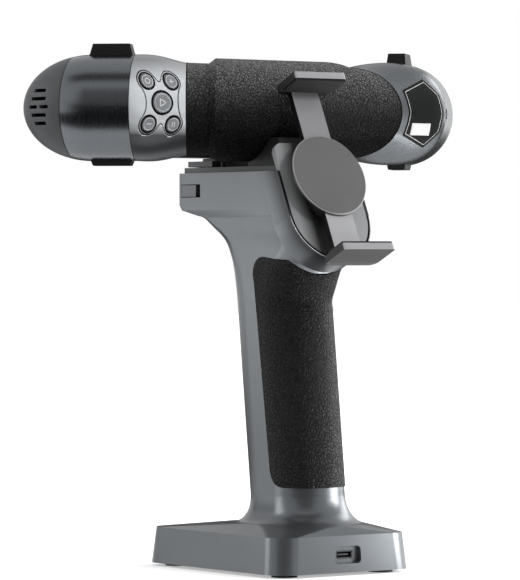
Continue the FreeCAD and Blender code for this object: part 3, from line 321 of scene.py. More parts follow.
def disc_paint(name, colour, edge, rough=0.5):
    """Matt disc with a painted highlight on its chamfer and painted shade on its wall."""
    mat, tree, shader = start(name, colour, rough)
    place = position(tree)
    reach = radius_about(tree, place, on_mount(0.0, CLAMP_UP, 0.0), MOUNT_NORMAL)
    # painted highlight along the chamfer
    chamfer_highlight = spread(tree, reach, DISC_R - DISC_CHAMFER, DISC_R - DISC_CHAMFER + DISC_BLUR)
    wall_shade = spread(tree, component(tree, facing(tree), MOUNT_NORMAL), *WALL_FACE)
    cloud = noise(tree, place, scale=60.0, detail=3.0)
    dust_and_painted_light = layer(tree, spread(tree, cloud, 0.35, 0.7), colour, tuple(c * DUST for c in colour))
    tone = layer(tree, chamfer_highlight, dust_and_painted_light, edge)
    tree.links.new(layer(tree, wall_shade, tone, PAINTED_WALL_SHADE), shader.inputs["Base Color"])
    raise_bumps(tree, shader, noise(tree, place, DISC_GRAIN), 0.25, 0.04 * MM)
    return mat


# ---------------------------------------------------------------- rubber, plastic and bare metal
PEBBLE = 1.6 * MM                # width of one pebble of the leather grain
PEBBLE_DEPTH = 0.4 * MM
PEBBLE_EDGE = 0.22               # part of it that slopes down to the gap
WARP_SCALE = 0.35 / PEBBLE       # slow bends that make the pebbles uneven
WARP = 1.4 * PEBBLE
FINE_SCALE = 1.6 / PEBBLE        # small bumps on top of them
FINE_HEIGHT = 0.45


def leather_rubber(name, gap, pebble, painted_top_light, gloss_low, gloss_high):
    """Moulded rubber with a leather grain of uneven pebbles, paler where it faces up by painted light."""
    mat, tree, shader = start(name, pebble, 0.5, 0.0, gloss_high)
    place = position(tree)
    rise = component(tree, facing(tree), UP)
    tree.links.new(spread(tree, rise, -0.6, 0.8, gloss_low, gloss_high), shader.inputs["Specular IOR Level"])
    warp = tree.nodes.new("ShaderNodeTexNoise")
    warp.inputs["Scale"].default_value = WARP_SCALE
    tree.links.new(place, warp.inputs["Vector"])
    bend = vector_step(tree, "MULTIPLY_ADD", warp.outputs["Color"], (WARP,) * 3)
    tree.links.new(place, bend.inputs[2])
    pebbles = tree.nodes.new("ShaderNodeTexVoronoi")
    pebbles.feature = "DISTANCE_TO_EDGE"
    pebbles.inputs["Scale"].default_value = 1.0 / PEBBLE
    tree.links.new(bend.outputs["Vector"], pebbles.inputs["Vector"])
    height = spread(tree, pebbles.outputs["Distance"], 0.0, PEBBLE_EDGE)
    fine = noise(tree, place, FINE_SCALE, detail=3.0)
    # painted light: paler on faces that point up
    dust_and_painted_light = layer(tree, spread(tree, rise, -0.1, 1.0), pebble, painted_top_light)
    tree.links.new(layer(tree, height, gap, dust_and_painted_light), shader.inputs["Base Color"])
    tree.links.new(spread(tree, height, 0.0, 1.0, 0.62, 0.44), shader.inputs["Roughness"])
    bumps = calculate(tree, "MULTIPLY_ADD", fine, FINE_HEIGHT, height)
    raise_bumps(tree, shader, bumps, 0.9, PEBBLE_DEPTH)
    return mat


BRUSH_SCALE = 2400.0
BRUSH_TURN = math.radians(22.0)  # the lines on a collar run round an axis turned forwards by this
# heights where a collar's painted dark reflection starts and is full, above and below the buttons
PAINTED_DARK_ABOVE = (BAR_Z + 12.0 * MM, BAR_Z + 22.0 * MM)
PAINTED_DARK_BELOW = (BAR_Z - 7.0 * MM, BAR_Z - 13.0 * MM)


def brushed_metal(name, colour, axis, rough=0.3, contrast=0.25, metal=0.95, stretch=0.6, painted_darkening=None):
    """Metal turned on a lathe, with fine lines round the axis. The optional darkening is a collar's painted
    dark reflection above and below the buttons.
    """
    mat, tree, shader = start(name, colour, rough, metal)
    place = position(tree)
    waver = noise(tree, place, scale=40.0, detail=1.0)
    lines = tree.nodes.new("ShaderNodeTexNoise")
    lines.noise_dimensions = "1D"
    lines.inputs["Scale"].default_value = 1.0
    lines.inputs["Detail"].default_value = 4.0
    step = calculate(tree, "MULTIPLY_ADD", component(tree, place, axis), BRUSH_SCALE, waver)
    tree.links.new(step, lines.inputs["W"])
    streak = spread(tree, lines.outputs["Fac"], NOISE_LOW, NOISE_HIGH)
    tone = layer(tree, streak, *shades(colour, contrast))
    if painted_darkening is not None:
        # painted dark reflection above and below the buttons
        height = component(tree, place, UP)
        tone = layer(tree, spread(tree, height, *PAINTED_DARK_BELOW), tone, painted_darkening)
        tone = layer(tree, spread(tree, height, *PAINTED_DARK_ABOVE, 0.0, 0.75), tone, painted_darkening)
    tree.links.new(tone, shader.inputs["Base Color"])
    tree.links.new(spread(tree, streak, 0.0, 1.0, rough + 0.03, rough - 0.02), shader.inputs["Roughness"])
    raise_bumps(tree, shader, lines.outputs["Fac"], 0.01, 0.02 * MM)
    way = tree.nodes.new("ShaderNodeCombineXYZ")
    for i, value in enumerate(axis):
        way.inputs[i].default_value = value
    tree.links.new(way.outputs["Vector"], shader.inputs["Tangent"])
    shader.inputs["Anisotropic"].default_value = stretch
    return mat


HEAD_METAL = (0.130, 0.138, 0.148)


def head_metal(name, side):
    axis = side_axis(side, HEAD_TURN)
    return brushed_metal(name, HEAD_METAL, axis, rough=0.26, contrast=0.03, metal=1.0, stretch=0.0)


def moulded(name, colour, rough=0.5, grain=0.35 * MM, depth=0.04 * MM, gloss=0.5, mottle=0.1):
    """Moulded plastic or rubber with a spark-eroded texture."""
    mat, tree, shader = start(name, colour, rough, 0.0, gloss)
    place = position(tree)
    speck = noise(tree, place, 1.0 / grain)
    cloud = noise(tree, place, scale=60.0, detail=3.0)
    tree.links.new(layer(tree, cloud, *shades(colour, mottle)), shader.inputs["Base Color"])
    vary_roughness(tree, shader, speck, rough - 0.06, rough + 0.06)
    raise_bumps(tree, shader, speck, 0.3, depth)
    return mat


# ---------------------------------------------------------------- boards and glass
def circuit(name):
    """Green board with copper runs under the mask."""
    mat, tree, shader = start(name, (0.02, 0.12, 0.06), 0.35)
    runs = tree.nodes.new("ShaderNodeTexBrick")
    runs.inputs["Scale"].default_value = 160.0
    runs.inputs["Mortar Size"].default_value = 0.06
    runs.inputs["Color1"].default_value = (0.015, 0.10, 0.05, 1.0)
    runs.inputs["Color2"].default_value = (0.02, 0.13, 0.06, 1.0)
    runs.inputs["Mortar"].default_value = (0.06, 0.28, 0.14, 1.0)
    tree.links.new(position(tree), runs.inputs["Vector"])
    tree.links.new(runs.outputs["Color"], shader.inputs["Base Color"])
    return mat


def dark_glass(name):
    """Tinted window: what is behind shows faintly."""
    mat, tree, shader = start(name, (0.004, 0.004, 0.006), 0.04, 0.0, 0.15)
    shader.inputs["Alpha"].default_value = 0.45
    smear = noise(tree, position(tree), scale=55.0, detail=3.0)
    tree.links.new(spread(tree, smear, 0.35, 0.7, 0.03, 0.07), shader.inputs["Roughness"])
    return mat


LENS_RING_IN = 4.2 * MM
LENS_RING_OUT = 5.2 * MM
LENS_BLUR = 0.2 * MM             # how softly the ring's edges start
LENS_GLASS = (0.004, 0.005, 0.012)
LENS_RING = (0.22, 0.22, 0.23)
LENS_BODY = (0.008, 0.008, 0.009)


def lens(name, node):
    """Black camera body with a glossy dark lens in a pale ring, seen from the front."""
    mat, tree, shader = start(name, LENS_BODY, 0.35)
    distance = radius_about(tree, position(tree), centre_of(node), FORWARD)
    on_ring = spread(tree, distance, LENS_RING_IN, LENS_RING_IN + LENS_BLUR)
    beyond = spread(tree, distance, LENS_RING_OUT, LENS_RING_OUT + LENS_BLUR)
    tone = layer(tree, beyond, layer(tree, on_ring, LENS_GLASS, LENS_RING), LENS_BODY)
    tree.links.new(tone, shader.inputs["Base Color"])
    rough = spread(tree, distance, LENS_RING_IN, LENS_RING_OUT, 0.05, 0.4)
    tree.links.new(rough, shader.inputs["Roughness"])
    return mat


# ---------------------------------------------------------------- what each node is made of
LEATHER_GAP = (0.002, 0.002, 0.0022)

MATERIALS = {
    "handle": handle_paint("handle paint", (0.102, 0.109, 0.116), top=(0.170, 0.180, 0.190),
                           painted_mount_shade=(0.022, 0.024, 0.026)),
    "plate": plate_paint("mount plate paint", dark=(0.010, 0.010, 0.011), pale=(0.30, 0.305, 0.31)),
    "dock": satin_metal("dock paint", (0.045, 0.047, 0.050), 0.4),
    "grip": leather_rubber("grip leather grain", LEATHER_GAP, (0.009, 0.009, 0.0095),
                           painted_top_light=(0.013, 0.013, 0.0135), gloss_low=0.14, gloss_high=0.16),
    "sleeve": leather_rubber("sleeve leather grain", LEATHER_GAP, (0.010, 0.010, 0.0105),
                             painted_top_light=(0.085, 0.085, 0.086), gloss_low=0.02, gloss_high=0.34),
    "head_left": head_metal("left head metal", -1),
    "head_right": head_metal("right head metal", 1),
    "collar_left": brushed_metal("left collar metal", (0.60, 0.62, 0.64), side_axis(-1, BRUSH_TURN),
                                 0.36, 0.04, 0.4, 0.4, painted_darkening=(0.030, 0.032, 0.035)),
    "collar_right": brushed_metal("right collar metal", (0.12, 0.128, 0.136), side_axis(1, BRUSH_TURN),
                                  0.28, 0.08),
    "cap": moulded("end cap plastic", (0.058, 0.060, 0.063), 0.5, gloss=0.25),
    "bumper": moulded("bumper rubber", (0.007, 0.007, 0.008), 0.6, 0.5 * MM, 0.08 * MM, gloss=0.2),
    "housing": moulded("front housing plastic", (0.02, 0.02, 0.023), 0.36),
    "black": moulded("black plastic", (0.008, 0.008, 0.009), 0.45, gloss=0.25),
    "grey": moulded("grey plastic", (0.05, 0.05, 0.054), 0.5),
    "button": moulded("button plastic", (0.20, 0.21, 0.22), 0.3, 0.3 * MM, 0.01 * MM),
    "label": moulded("label film", (0.004, 0.0045, 0.005), 0.5, 0.3 * MM, 0.01 * MM, gloss=0.12),
    "disc": disc_paint("disc paint", (0.092, 0.092, 0.092), (0.26, 0.26, 0.26)),
    "arm": clamp_arm("arm paint", face=(0.42, 0.42, 0.435), painted_shade_top=(0.25, 0.25, 0.26),
                     painted_jaw_shade=(0.030, 0.030, 0.032), tip=(0.36, 0.36, 0.37), side=(0.008, 0.008, 0.009)),
    "clamp": satin_metal("clamp body paint", (0.020, 0.020, 0.022), 0.42, 0.2),
    "pad": moulded("pad rubber", (0.012, 0.012, 0.013), 0.6, 0.5 * MM, 0.08 * MM, gloss=0.25),
    "steel": brushed_metal("steel", (0.42, 0.42, 0.43), UP),
    "port": brushed_metal("port metal", (0.06, 0.06, 0.062), UP),
    "aluminium": satin_metal("anodised aluminium", (0.30, 0.31, 0.32), 0.35, 0.8),
    "iron": satin_metal("cast iron", (0.10, 0.10, 0.105), 0.6, 0.5, 0.25),
    "circuit": circuit("circuit board"),
    "cell": moulded("cell sleeve", (0.03, 0.10, 0.22), 0.3),
    "glass": dark_glass("front window glass"),
    "lens_left": lens("left camera", "camera_left"),
    "lens_right": lens("right camera", "camera_right"),
    "lens_colour": lens("colour camera", "colour_camera"),
    "lens_projector": lens("projector", "projector"),
    "lit": moulded("light ring diffuser", (0.70, 0.70, 0.66), 0.4),
    "tab": satin_metal("release tab paint", (0.105, 0.112, 0.118), 0.36, 0.5),
    # painted highlights on edges
    "bright": satin_metal("painted edge highlight", (0.62, 0.64, 0.66), 0.25, 0.6, 0.02),
    # painted shadow lines in grooves, gaps and joints
    "seam": moulded("seam shadow line", (0.003, 0.003, 0.0035), 0.7, gloss=0.05),
    "print": moulded("pale print", (0.75, 0.75, 0.75), 0.5),
}

NODE_MATERIALS = {
    "handle": ["handle_shell"],
    "plate": ["mount_plate"],
    "dock": ["dock_plate", "dock_shoe"],
    "grip": ["grip_panel"],
    "sleeve": ["grip_sleeve"],
    "head_left": ["head_shell_left"],
    "head_right": ["head_shell_right"],
    "collar_left": ["collar_left"],
    "collar_right": ["collar_right"],
    "cap": ["end_cap_left", "end_cap_right"],
    "bumper": BUMPERS + ["base_feet"],
    "housing": ["front_housing"],
    "black": ["connector_block", "battery_cradle", "fan_frame", "fan_rotor", "grip_core"],
    "lens_left": ["camera_left"],
    "lens_right": ["camera_right"],
    "lens_colour": ["colour_camera"],
    "lens_projector": ["projector"],
    "grey": ["base_cover", "friction_washer"],
    "button": BUTTONS,
    "label": ["label_plate"],
    "disc": ["front_disc"],
    "arm": ["upper_arm", "lower_arm"],
    "clamp": ["clamp_body"],
    "pad": ["upper_jaw_pad", "lower_jaw_pad"],
    "steel": ["base_screws", "dock_screws", "mount_screws", "shoe_screws", "swivel_pin"],
    "port": ["usb_socket"],
    "aluminium": ["optical_bench"],
    "iron": ["ballast"],
    "circuit": ["main_board", "button_board", "power_board", "radio_board"],
    "cell": ["battery_cells"],
    "glass": ["front_window"],
    "lit": ["led_ring_left", "led_ring_right"],
    "tab": ["release_slider"],
}


def dress_nodes():
    for key, names in NODE_MATERIALS.items():
        for name in names:
            data = nodes[name].data
            data.materials.clear()
            data.materials.append(MATERIALS[key])


# ---------------------------------------------------------------- softened edges
SOFT_EDGES = {
    0.25 * MM: BUMPERS + ["mount_plate", "dock_plate", "dock_shoe", "clamp_body", "release_slider",
                          "label_plate"],
    0.35 * MM: BUTTONS + ["upper_arm", "lower_arm", "connector_block"],
    0.5 * MM: ["front_housing", "end_cap_left", "end_cap_right"],
}
WELD = 0.002 * MM
SHARP = math.radians(38.0)       # an edge that turns more than this is softened


def soften_edges():
    for width, names in SOFT_EDGES.items():
        for name in names:
            weld = nodes[name].modifiers.new("weld", "WELD")
            weld.merge_threshold = WELD
            bevel = nodes[name].modifiers.new("soft edge", "BEVEL")
            bevel.width = width
            bevel.segments = 2
            bevel.limit_method = "ANGLE"
            bevel.angle_limit = SHARP
            bevel.harden_normals = True


# ---------------------------------------------------------------- mesh helpers
BEHIND = -0.1                    # a y behind the whole object


def finish_piece(obj, key, body):
    obj.data.materials.append(MATERIALS[key])
    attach(obj, body)


def object_from(form, name):
    """Smooth object from a bmesh, which is used up."""
    bmesh.ops.recalc_face_normals(form, faces=form.faces)
    mesh = bpy.data.meshes.new(name)
    form.to_mesh(mesh)
    form.free()
    for face in mesh.polygons:
        face.use_smooth = True
    obj = bpy.data.objects.new(name, mesh)
    bpy.context.scene.collection.objects.link(obj)
    return obj


def tube_along(name, points, normals, size, closed, sides=10):
    """Rounded bead along points on a surface; size is its width and height."""
    width, height = size
    form = bmesh.new()
    rings = []
    count = len(points)
    for i, point in enumerate(points):
        after = points[(i + 1) % count] if closed else points[min(i + 1, count - 1)]
        before = points[i - 1] if closed else points[max(i - 1, 0)]
        way = (after - before).normalized()
        side = way.cross(normals[i].normalized()).normalized()
        up = side.cross(way).normalized()
        ring = []
        for k in range(sides):
            a = 2 * math.pi * k / sides
            place = point + side * (width / 2 * math.cos(a)) + up * (height / 2 * math.sin(a))
            ring.append(form.verts.new(place))
        rings.append(ring)
    for i in range(count if closed else count - 1):
        a, b = rings[i], rings[(i + 1) % count]
        for k in range(sides):
            form.faces.new((a[k], a[(k + 1) % sides], b[(k + 1) % sides], b[k]))
    if not closed:
        form.faces.new(rings[0])
        form.faces.new(rings[-1])
    return object_from(form, name)


def smooth_path(points, steps):
    """Closed Catmull-Rom curve through 2-D points."""
    out = []
    for i in range(len(points)):
        four = [points[(i + k - 1) % len(points)] for k in range(4)]
        for step in range(steps):
            t = step / steps
            out.append(tuple(0.5 * (2 * b + (c - a) * t + (2 * a - 5 * b + 4 * c - d) * t ** 2
                                    + (3 * b - a - 3 * c + d) * t ** 3) for a, b, c, d in zip(*four)))
    return out


def circle_points(x, z, radius, count=40):
    turns = [math.radians(360.0 * i / count) for i in range(count)]
    return [(x + radius * math.cos(a), z + radius * math.sin(a)) for a in turns]


def line_points(a, b, count=6):
    return [(a[0] + (b[0] - a[0]) * i / count, a[1] + (b[1] - a[1]) * i / count) for i in range(count + 1)]


def polygon_points(corners, count):
    """Points along a closed outline of straight sides, count to a side."""
    points = []
    for i, corner in enumerate(corners):
        points += line_points(corner, corners[(i + 1) % len(corners)], count)[:-1]
    return points


def surface_of(name):
    mesh = nodes[name].data
    corners = [v.co.copy() for v in mesh.vertices]
    return BVHTree.FromPolygons(corners, [tuple(p.vertices) for p in mesh.polygons])


def drop_on(surface, flat):
    """Points (x, z) carried along +Y onto the surface; those that miss are left out."""
    places, normals = [], []
    for x, z in flat:
        hit, normal, _, _ = surface.ray_cast(Vector((x, BEHIND, z)), Vector(FORWARD))
        if hit is not None:
            places.append(hit)
            normals.append(normal if normal.y < 0 else -normal)
    return places, normals


def bead(name, surface, flat, size, closed, key, body):
    places, normals = drop_on(surface, flat)
    finish_piece(tube_along(name, places, normals, size, closed), key, body)


# ---------------------------------------------------------------- buttons and their panel
# width and height of each kind of bead
GROOVE_BEAD = (0.62 * MM, 0.12 * MM)
LIP_BEAD = (0.22 * MM, 0.16 * MM)
EDGE_BEAD = (0.30 * MM, 0.20 * MM)
WELL_BEAD = (0.90 * MM, 0.16 * MM)
SIGN_BEAD = (0.38 * MM, 0.14 * MM)
DASH_BEAD = (0.35 * MM, 0.14 * MM)

LOBE_R = 4.9 * MM                # the groove round a corner button
LOBE_TURNS = range(150, -46, -15)
DIP = 0.3 * MM                   # how far it dips between two corner buttons
WAIST_X = 8.4 * MM               # half its width beside the middle button, up to WAIST_Z
WAIST_Z = 1.6 * MM
WAIST_BEND = (0.5 * MM, 4.0 * MM)    # how much wider it is where it turns to a corner button, and how high
LIP_GROW = (1.035, 1.03)         # size of the painted highlight on the groove's lip over the groove's, in x and z

EDGE_SHARE = 0.86                # the painted edge highlight's radius over the button's
WELL_GAP = 0.75 * MM             # from a button to the middle of the painted shadow ring round it
TRIANGLE = 1.7 * MM              # from a triangle's middle to its point, and half its back's height
TRIANGLE_BACK = TRIANGLE * 0.7
SIGN = 1.15 * MM                 # half the size of the other signs
BAR_SHIFT = SIGN * 0.5           # each bar from the button's middle
DASH = 1.0 * MM                  # half a dash
DASHES = [(0.4 * MM, -8.2 * MM), (0.4 * MM, -10.6 * MM), (-7.6 * MM, -15.0 * MM), (6.4 * MM, -15.4 * MM),
          (0.6 * MM, 8.4 * MM)]


def groove_outline():
    """Closed X-shaped line round the five buttons, as (x, z) from the middle one."""
    corner = centre_of("button_upper_right") - centre_of("button_centre")
    quarter = [(0.0, corner.z - DIP)]
    for degrees in LOBE_TURNS:
        a = math.radians(degrees)
        quarter.append((corner.x + LOBE_R * math.cos(a), corner.z + LOBE_R * math.sin(a)))
    quarter += [(WAIST_X + WAIST_BEND[0], WAIST_BEND[1]), (WAIST_X, WAIST_Z)]
    path = list(quarter)
    path += [(x, -z) for x, z in reversed(quarter)]
    path += [(-x, -z) for x, z in quarter[1:]]
    path += [(-x, z) for x, z in reversed(quarter[1:])]
    return smooth_path(path, 4)


def groove_details(collar):
    middle = centre_of("button_centre")
    outline = groove_outline()
    groove = [(middle.x + x, middle.z + z) for x, z in outline]
    painted_lip_highlight = [(middle.x + x * LIP_GROW[0], middle.z + z * LIP_GROW[1]) for x, z in outline]
    # painted shadow along the groove, and a painted highlight along its lip
    bead("button_groove", collar, groove, GROOVE_BEAD, True, "seam", "scanner")
    bead("button_groove_painted_highlight", collar, painted_lip_highlight, LIP_BEAD, True, "bright", "scanner")


def button_edges(collar):
    """Painted highlight on each button's edge, and the painted shadow ring round it."""
    for node in BUTTONS:
        low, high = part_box(node)
        middle = (low + high) / 2
        radius = (high.x - low.x) / 2
        edge = circle_points(middle.x, middle.z, radius * EDGE_SHARE)
        painted_shadow_ring = circle_points(middle.x, middle.z, radius + WELL_GAP)
        # painted highlight on the button's edge, then a painted shadow ring round it
        bead(node + "_painted_highlight", surface_of(node), edge, EDGE_BEAD, True, "bright", node + "_key")
        bead(node + "_painted_shadow_ring", collar, painted_shadow_ring, WELL_BEAD, True, "seam", "scanner")


def button_signs():
    """Plain pale shapes: a triangle, a ring, a plus, a minus and two bars."""
    for node in BUTTONS:
        middle = centre_of(node)
        x, z = middle.x, middle.z
        across = line_points((x - SIGN, z), (x + SIGN, z))
        upright = line_points((x, z - SIGN), (x, z + SIGN))
        corners = [(x - TRIANGLE_BACK, z - TRIANGLE), (x + TRIANGLE, z), (x - TRIANGLE_BACK, z + TRIANGLE)]
        bars = [[(x + shift, height) for _, height in upright] for shift in (-BAR_SHIFT, BAR_SHIFT)]
        lines, closed = {
            "button_centre": ([polygon_points(corners, 5)], True),
            "button_upper_left": ([circle_points(x, z, SIGN)], True),
            "button_upper_right": ([across, upright], False),
            "button_lower_left": ([across], False),
            "button_lower_right": (bars, False),
        }[node]
        surface = surface_of(node)
        for i, flat in enumerate(lines):
            bead("%s_icon_%d" % (node, i), surface, flat, SIGN_BEAD, closed, "print", node + "_key")


def collar_dashes(collar):
    """Small pale dashes under and between the buttons."""
    middle = centre_of("button_centre")
    for i, (dx, dz) in enumerate(DASHES):
        x, z = middle.x + dx, middle.z + dz
        flat = line_points((x - DASH, z), (x + DASH, z))
        bead("collar_dash_%d" % i, collar, flat, DASH_BEAD, False, "print", "scanner")


def button_details():
    collar = surface_of("collar_left")
    groove_details(collar)
    button_edges(collar)
    button_signs()
    collar_dashes(collar)


# ---------------------------------------------------------------- label
LABEL_BEAD = (0.25 * MM, 0.14 * MM)
LABEL_X0 = 65.0 * MM             # the plate's left end, which the corners are set out from
LABEL_CORNERS = [(x * MM, z * MM) for x, z in (
    (66.2, -9.9), (68.0, 0.0), (66.2, 9.9), (79.6, 14.9),
    (86.6, 8.6), (88.4, 0.0), (86.6, -8.6), (79.6, -14.9))]
BLANK_X = (69.2 * MM, 81.2 * MM)
BLANK_Z = (BAR_Z - 10.6 * MM, BAR_Z - 4.9 * MM)
BLANK_LIFT = 0.02 * MM
BLANK_THICK = 0.12 * MM


def patch_on(name, surface, across, rise, columns=10, rows=6):
    """Thin sheet that follows the surface over a rectangle seen from behind."""
    form = bmesh.new()
    grid = []
    for i in range(columns + 1):
        line = []
        for j in range(rows + 1):
            x = across[0] + (across[1] - across[0]) * i / columns
            z = rise[0] + (rise[1] - rise[0]) * j / rows
            places, normals = drop_on(surface, [(x, z)])
            line.append(form.verts.new(places[0] + normals[0] * BLANK_LIFT))
        grid.append(line)
    for i in range(columns):
        for j in range(rows):
            form.faces.new((grid[i][j], grid[i + 1][j], grid[i + 1][j + 1], grid[i][j + 1]))
    obj = object_from(form, name)
    thick = obj.modifiers.new("thickness", "SOLIDIFY")
    thick.thickness = BLANK_THICK
    thick.offset = 1.0
    return obj


def label_details():
    plate = surface_of("label_plate")
    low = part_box("label_plate")[0]
    corners = [(low.x + (x - LABEL_X0), BAR_Z + z) for x, z in LABEL_CORNERS]
    bead("label_painted_highlight", plate, polygon_points(corners, 12), LABEL_BEAD, True, "print", "scanner")
    finish_piece(patch_on("label_blank", plate, BLANK_X, BLANK_Z), "print", "scanner")


# ---------------------------------------------------------------- mount plate's rim
RIM_BEAD = (0.45 * MM, 0.14 * MM)
RIM_SHADOW_BEAD = (0.95 * MM, 0.14 * MM)
RIM_LINE_OUT = RIM_W - 0.30 * MM     # from the mount plate's outline
RIM_SHADOW_OUT = 0.55 * MM
RIM_TOP_GAP = 0.4 * MM               # both lines stop this far below the handle's top


def mount_path(grow):
    """Outline of the mount plate, in its own plane, as (x, up)."""
    r = MOUNT_R + grow
    top = MOUNT_RISE + grow
    corner = MOUNT_CORNER + grow
    path = [(r * math.cos(math.radians(a)), r * math.sin(math.radians(a))) for a in range(180, 361, 6)]
    for middle, first in ((r - corner, 0.0), (corner - r, 90.0)):
        for k in range(7):
            a = math.radians(first + 15.0 * k)
            path.append((middle + corner * math.cos(a), top - corner + corner * math.sin(a)))
    return path


def mount_details():
    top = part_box("handle_shell")[1].z - RIM_TOP_GAP
    # a painted highlight line on the rim and a painted shadow line in the gap by the plate
    for name, grow, size, key in (("mount_rim_painted_highlight", RIM_LINE_OUT, RIM_BEAD, "bright"),
                                  ("mount_rim_shadow", RIM_SHADOW_OUT, RIM_SHADOW_BEAD, "seam")):
        path = [on_mount(x, up, 0.0) for x, up in mount_path(grow)]
        path = [place for place in path if place.z < top]
        finish_piece(tube_along(name, path, [MOUNT_NORMAL] * len(path), size, False), key, "handle")


# ---------------------------------------------------------------- joints of the sleeve
JOINT_BEAD = (0.55 * MM, 0.30 * MM)
JOINT_END = SPLIT_Y - 0.5 * MM   # the lines stop here, short of the front housing


def joint_details():
    """Painted shadow line in the joint between the sleeve and each collar, round the back."""
    for word, way in (("left", -1), ("right", 1)):
        points, normals = [], []
        for degrees in range(-180, 181, 4):
            a = math.radians(degrees)
            side = -math.cos(a) * NECK_R / math.cos(COLLAR_TURN)
            x = way * (COLLAR_X - side * math.sin(COLLAR_TURN))
            y = side * math.cos(COLLAR_TURN)
            z = NECK_R * math.sin(a)
            if y < JOINT_END:
                points.append(Vector((x, AXIS_Y + y, BAR_Z + z)))
                normals.append(Vector((0.0, y, z)).normalized())
        line = tube_along("sleeve_joint_" + word, points, normals, JOINT_BEAD, False)
        finish_piece(line, "seam", "scanner")


# ---------------------------------------------------------------- studio
VIEW = math.radians(36.0)        # the camera looks along +Y turned this far towards +X
AMBIENT_LOW = 0.10               # light from the sides, where the object faces down or level
AMBIENT_HIGH = 0.62              # and from overhead
FLOOR_NEAR = 0.14                # the floor keeps its own shade up to here from the middle
FLOOR_FAR = 0.60                 # and is plain white from here on
FLOOR_GLOW = 0.42                # how much it glows by the object


def seen_directly(tree):
    """1 for rays from the camera, a reflection or a clear body."""
    path = tree.nodes.new("ShaderNodeLightPath")
    first = calculate(tree, "MAXIMUM", path.outputs["Is Camera Ray"], path.outputs["Is Glossy Ray"])
    return calculate(tree, "MAXIMUM", first, path.outputs["Is Transmission Ray"])


def backdrop():
    """White where it is seen, and plain soft light for everything else."""
    world = bpy.data.worlds.new("studio")
    bpy.context.scene.world = world
    world.use_nodes = True
    tree = world.node_tree
    back = tree.nodes["Background"]
    rise = component(tree, tree.nodes.new("ShaderNodeTexCoord").outputs["Generated"], UP)
    ambient = spread(tree, rise, 0.0, 0.9, AMBIENT_LOW, AMBIENT_HIGH)
    back.inputs["Color"].default_value = (1.0, 1.0, 1.0, 1.0)
    tree.links.new(calculate(tree, "MAXIMUM", seen_directly(tree), ambient), back.inputs["Strength"])


def floor():
    bpy.ops.mesh.primitive_plane_add(size=12.0, location=(0, 0, 0))
    obj = bpy.context.object
    obj.name = "floor"
    mat, tree, shader = start("floor paper", (0.75, 0.75, 0.75), 0.8)
    away = vector_step(tree, "LENGTH", position(tree)).outputs["Value"]
    level = spread(tree, away, FLOOR_NEAR, FLOOR_FAR, FLOOR_GLOW, 1.0)
    glow = tree.nodes.new("ShaderNodeEmission")
    tree.links.new(calculate(tree, "MULTIPLY", seen_directly(tree), level), glow.inputs["Strength"])
    both = tree.nodes.new("ShaderNodeAddShader")
    tree.links.new(shader.outputs["BSDF"], both.inputs[0])
    tree.links.new(glow.outputs["Emission"], both.inputs[1])
    tree.links.new(both.outputs["Shader"], tree.nodes["Material Output"].inputs["Surface"])
    obj.data.materials.append(mat)


def lamp(name, place, target, size, power, size_y=None, glossy=True):
    light = bpy.data.lights.new(name, "AREA")
    light.energy = power
    light.size = size
    if size_y:
        light.shape = "RECTANGLE"
        light.size_y = size_y
    obj = bpy.data.objects.new(name, light)
    obj.location = place
    obj.rotation_euler = (Vector(target) - Vector(place)).to_track_quat("-Z", "Y").to_euler()
    obj.visible_camera = False
    obj.visible_glossy = glossy
    bpy.context.scene.collection.objects.link(obj)


def lamps():
    middle = (0, 0, 0.15)
    lamp("key", (0.45, -1.1, 0.95), middle, size=0.28, power=9.0, glossy=False)
    lamp("top", (-0.8, -0.4, 1.3), middle, size=0.7, power=4.5, glossy=False)
    lamp("right edge", (1.1, 0.1, 0.5), middle, size=0.5, power=8.0, size_y=0.9)
    lamp("left edge", (-1.0, 0.7, 0.5), middle, size=0.5, power=6.0, size_y=0.9)
    lamp("base kicker", (0.14, -0.12, 0.05), (0.03, -0.04, 0.02), size=0.08, power=0.30)


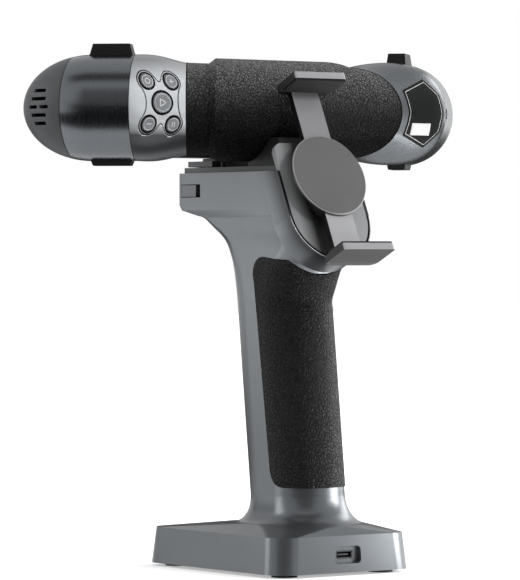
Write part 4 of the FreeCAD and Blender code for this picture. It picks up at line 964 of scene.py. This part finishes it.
def card(name, place, height, wide, high, level, flat=False, turn=-VIEW):
    """Grey card of that level, upright or flat, that only reflections show."""
    mat = bpy.data.materials.new(name)
    mat.use_nodes = True
    tree = mat.node_tree
    glow = tree.nodes.new("ShaderNodeEmission")
    glow.inputs["Color"].default_value = (level, level, level, 1.0)
    tree.links.new(glow.outputs["Emission"], tree.nodes["Material Output"].inputs["Surface"])
    bpy.ops.mesh.primitive_plane_add(size=1.0, location=(place.x, place.y, height))
    obj = bpy.context.object
    obj.name = name
    obj.scale = (wide, high, 1.0)
    obj.rotation_euler = (0.0 if flat else math.radians(90.0), 0.0, turn)
    obj.data.materials.append(mat)
    obj.visible_camera = False
    obj.visible_diffuse = False
    obj.visible_shadow = False
    obj.visible_transmission = False


def cards():
    """Dark ahead of the object, overhead and on the floor, and grey between."""
    ahead = Vector((-math.sin(VIEW), -math.cos(VIEW), 0.0))
    far_left = Vector((-math.sin(VIEW), math.cos(VIEW), 0.0))
    card("card on the floor", ahead * 1.235, height=0.002, wide=1.9, high=2.03, level=0.02, flat=True)
    card("card on the floor behind", ahead * -1.25, height=0.002, wide=2.6, high=2.0, level=0.05, flat=True)
    card("card ahead", ahead * 2.3, height=0.24, wide=3.6, high=0.56, level=0.03)
    card("card behind", ahead * -2.0, height=0.52, wide=0.6, high=1.3, level=0.10)
    card("card far left", far_left * 1.8, height=0.56, wide=1.3, high=0.6, level=0.35, turn=VIEW)
    card("grey card ahead", ahead * 2.2, height=1.35, wide=2.2, high=1.6, level=0.25)
    card("card overhead", ahead * 0.62, height=1.75, wide=2.0, high=0.62, level=0.04, flat=True)


# ---------------------------------------------------------------- camera
PITCH = math.radians(-0.605)
FOCUS = 3987.4                   # lens to picture plane, in the picture's pixels
PICTURE_H = 580.0
SENSOR = 36.0                    # height of Blender's sensor, in its millimetres
CAMERA_X = -1103.8 * MM
CAMERA_Y = -1512.0 * MM          # from the bar's axis
CAMERA_Z = 150.0 * MM


def camera():
    data = bpy.data.cameras.new("camera")
    data.sensor_fit = "VERTICAL"
    data.sensor_height = SENSOR
    data.lens = FOCUS * SENSOR / PICTURE_H
    obj = bpy.data.objects.new("camera", data)
    bpy.context.scene.collection.objects.link(obj)
    obj.location = (CAMERA_X, AXIS_Y + CAMERA_Y, CAMERA_Z)
    way = Vector((math.sin(VIEW), math.cos(VIEW), math.tan(PITCH)))
    obj.rotation_euler = way.to_track_quat("-Z", "Y").to_euler()
    bpy.context.scene.camera = obj


# ---------------------------------------------------------------- everything
bpy.context.scene.view_settings.view_transform = "Standard"
dress_nodes()
soften_edges()
button_details()
label_details()
mount_details()
joint_details()
backdrop()
floor()
lamps()
cards()
camera()
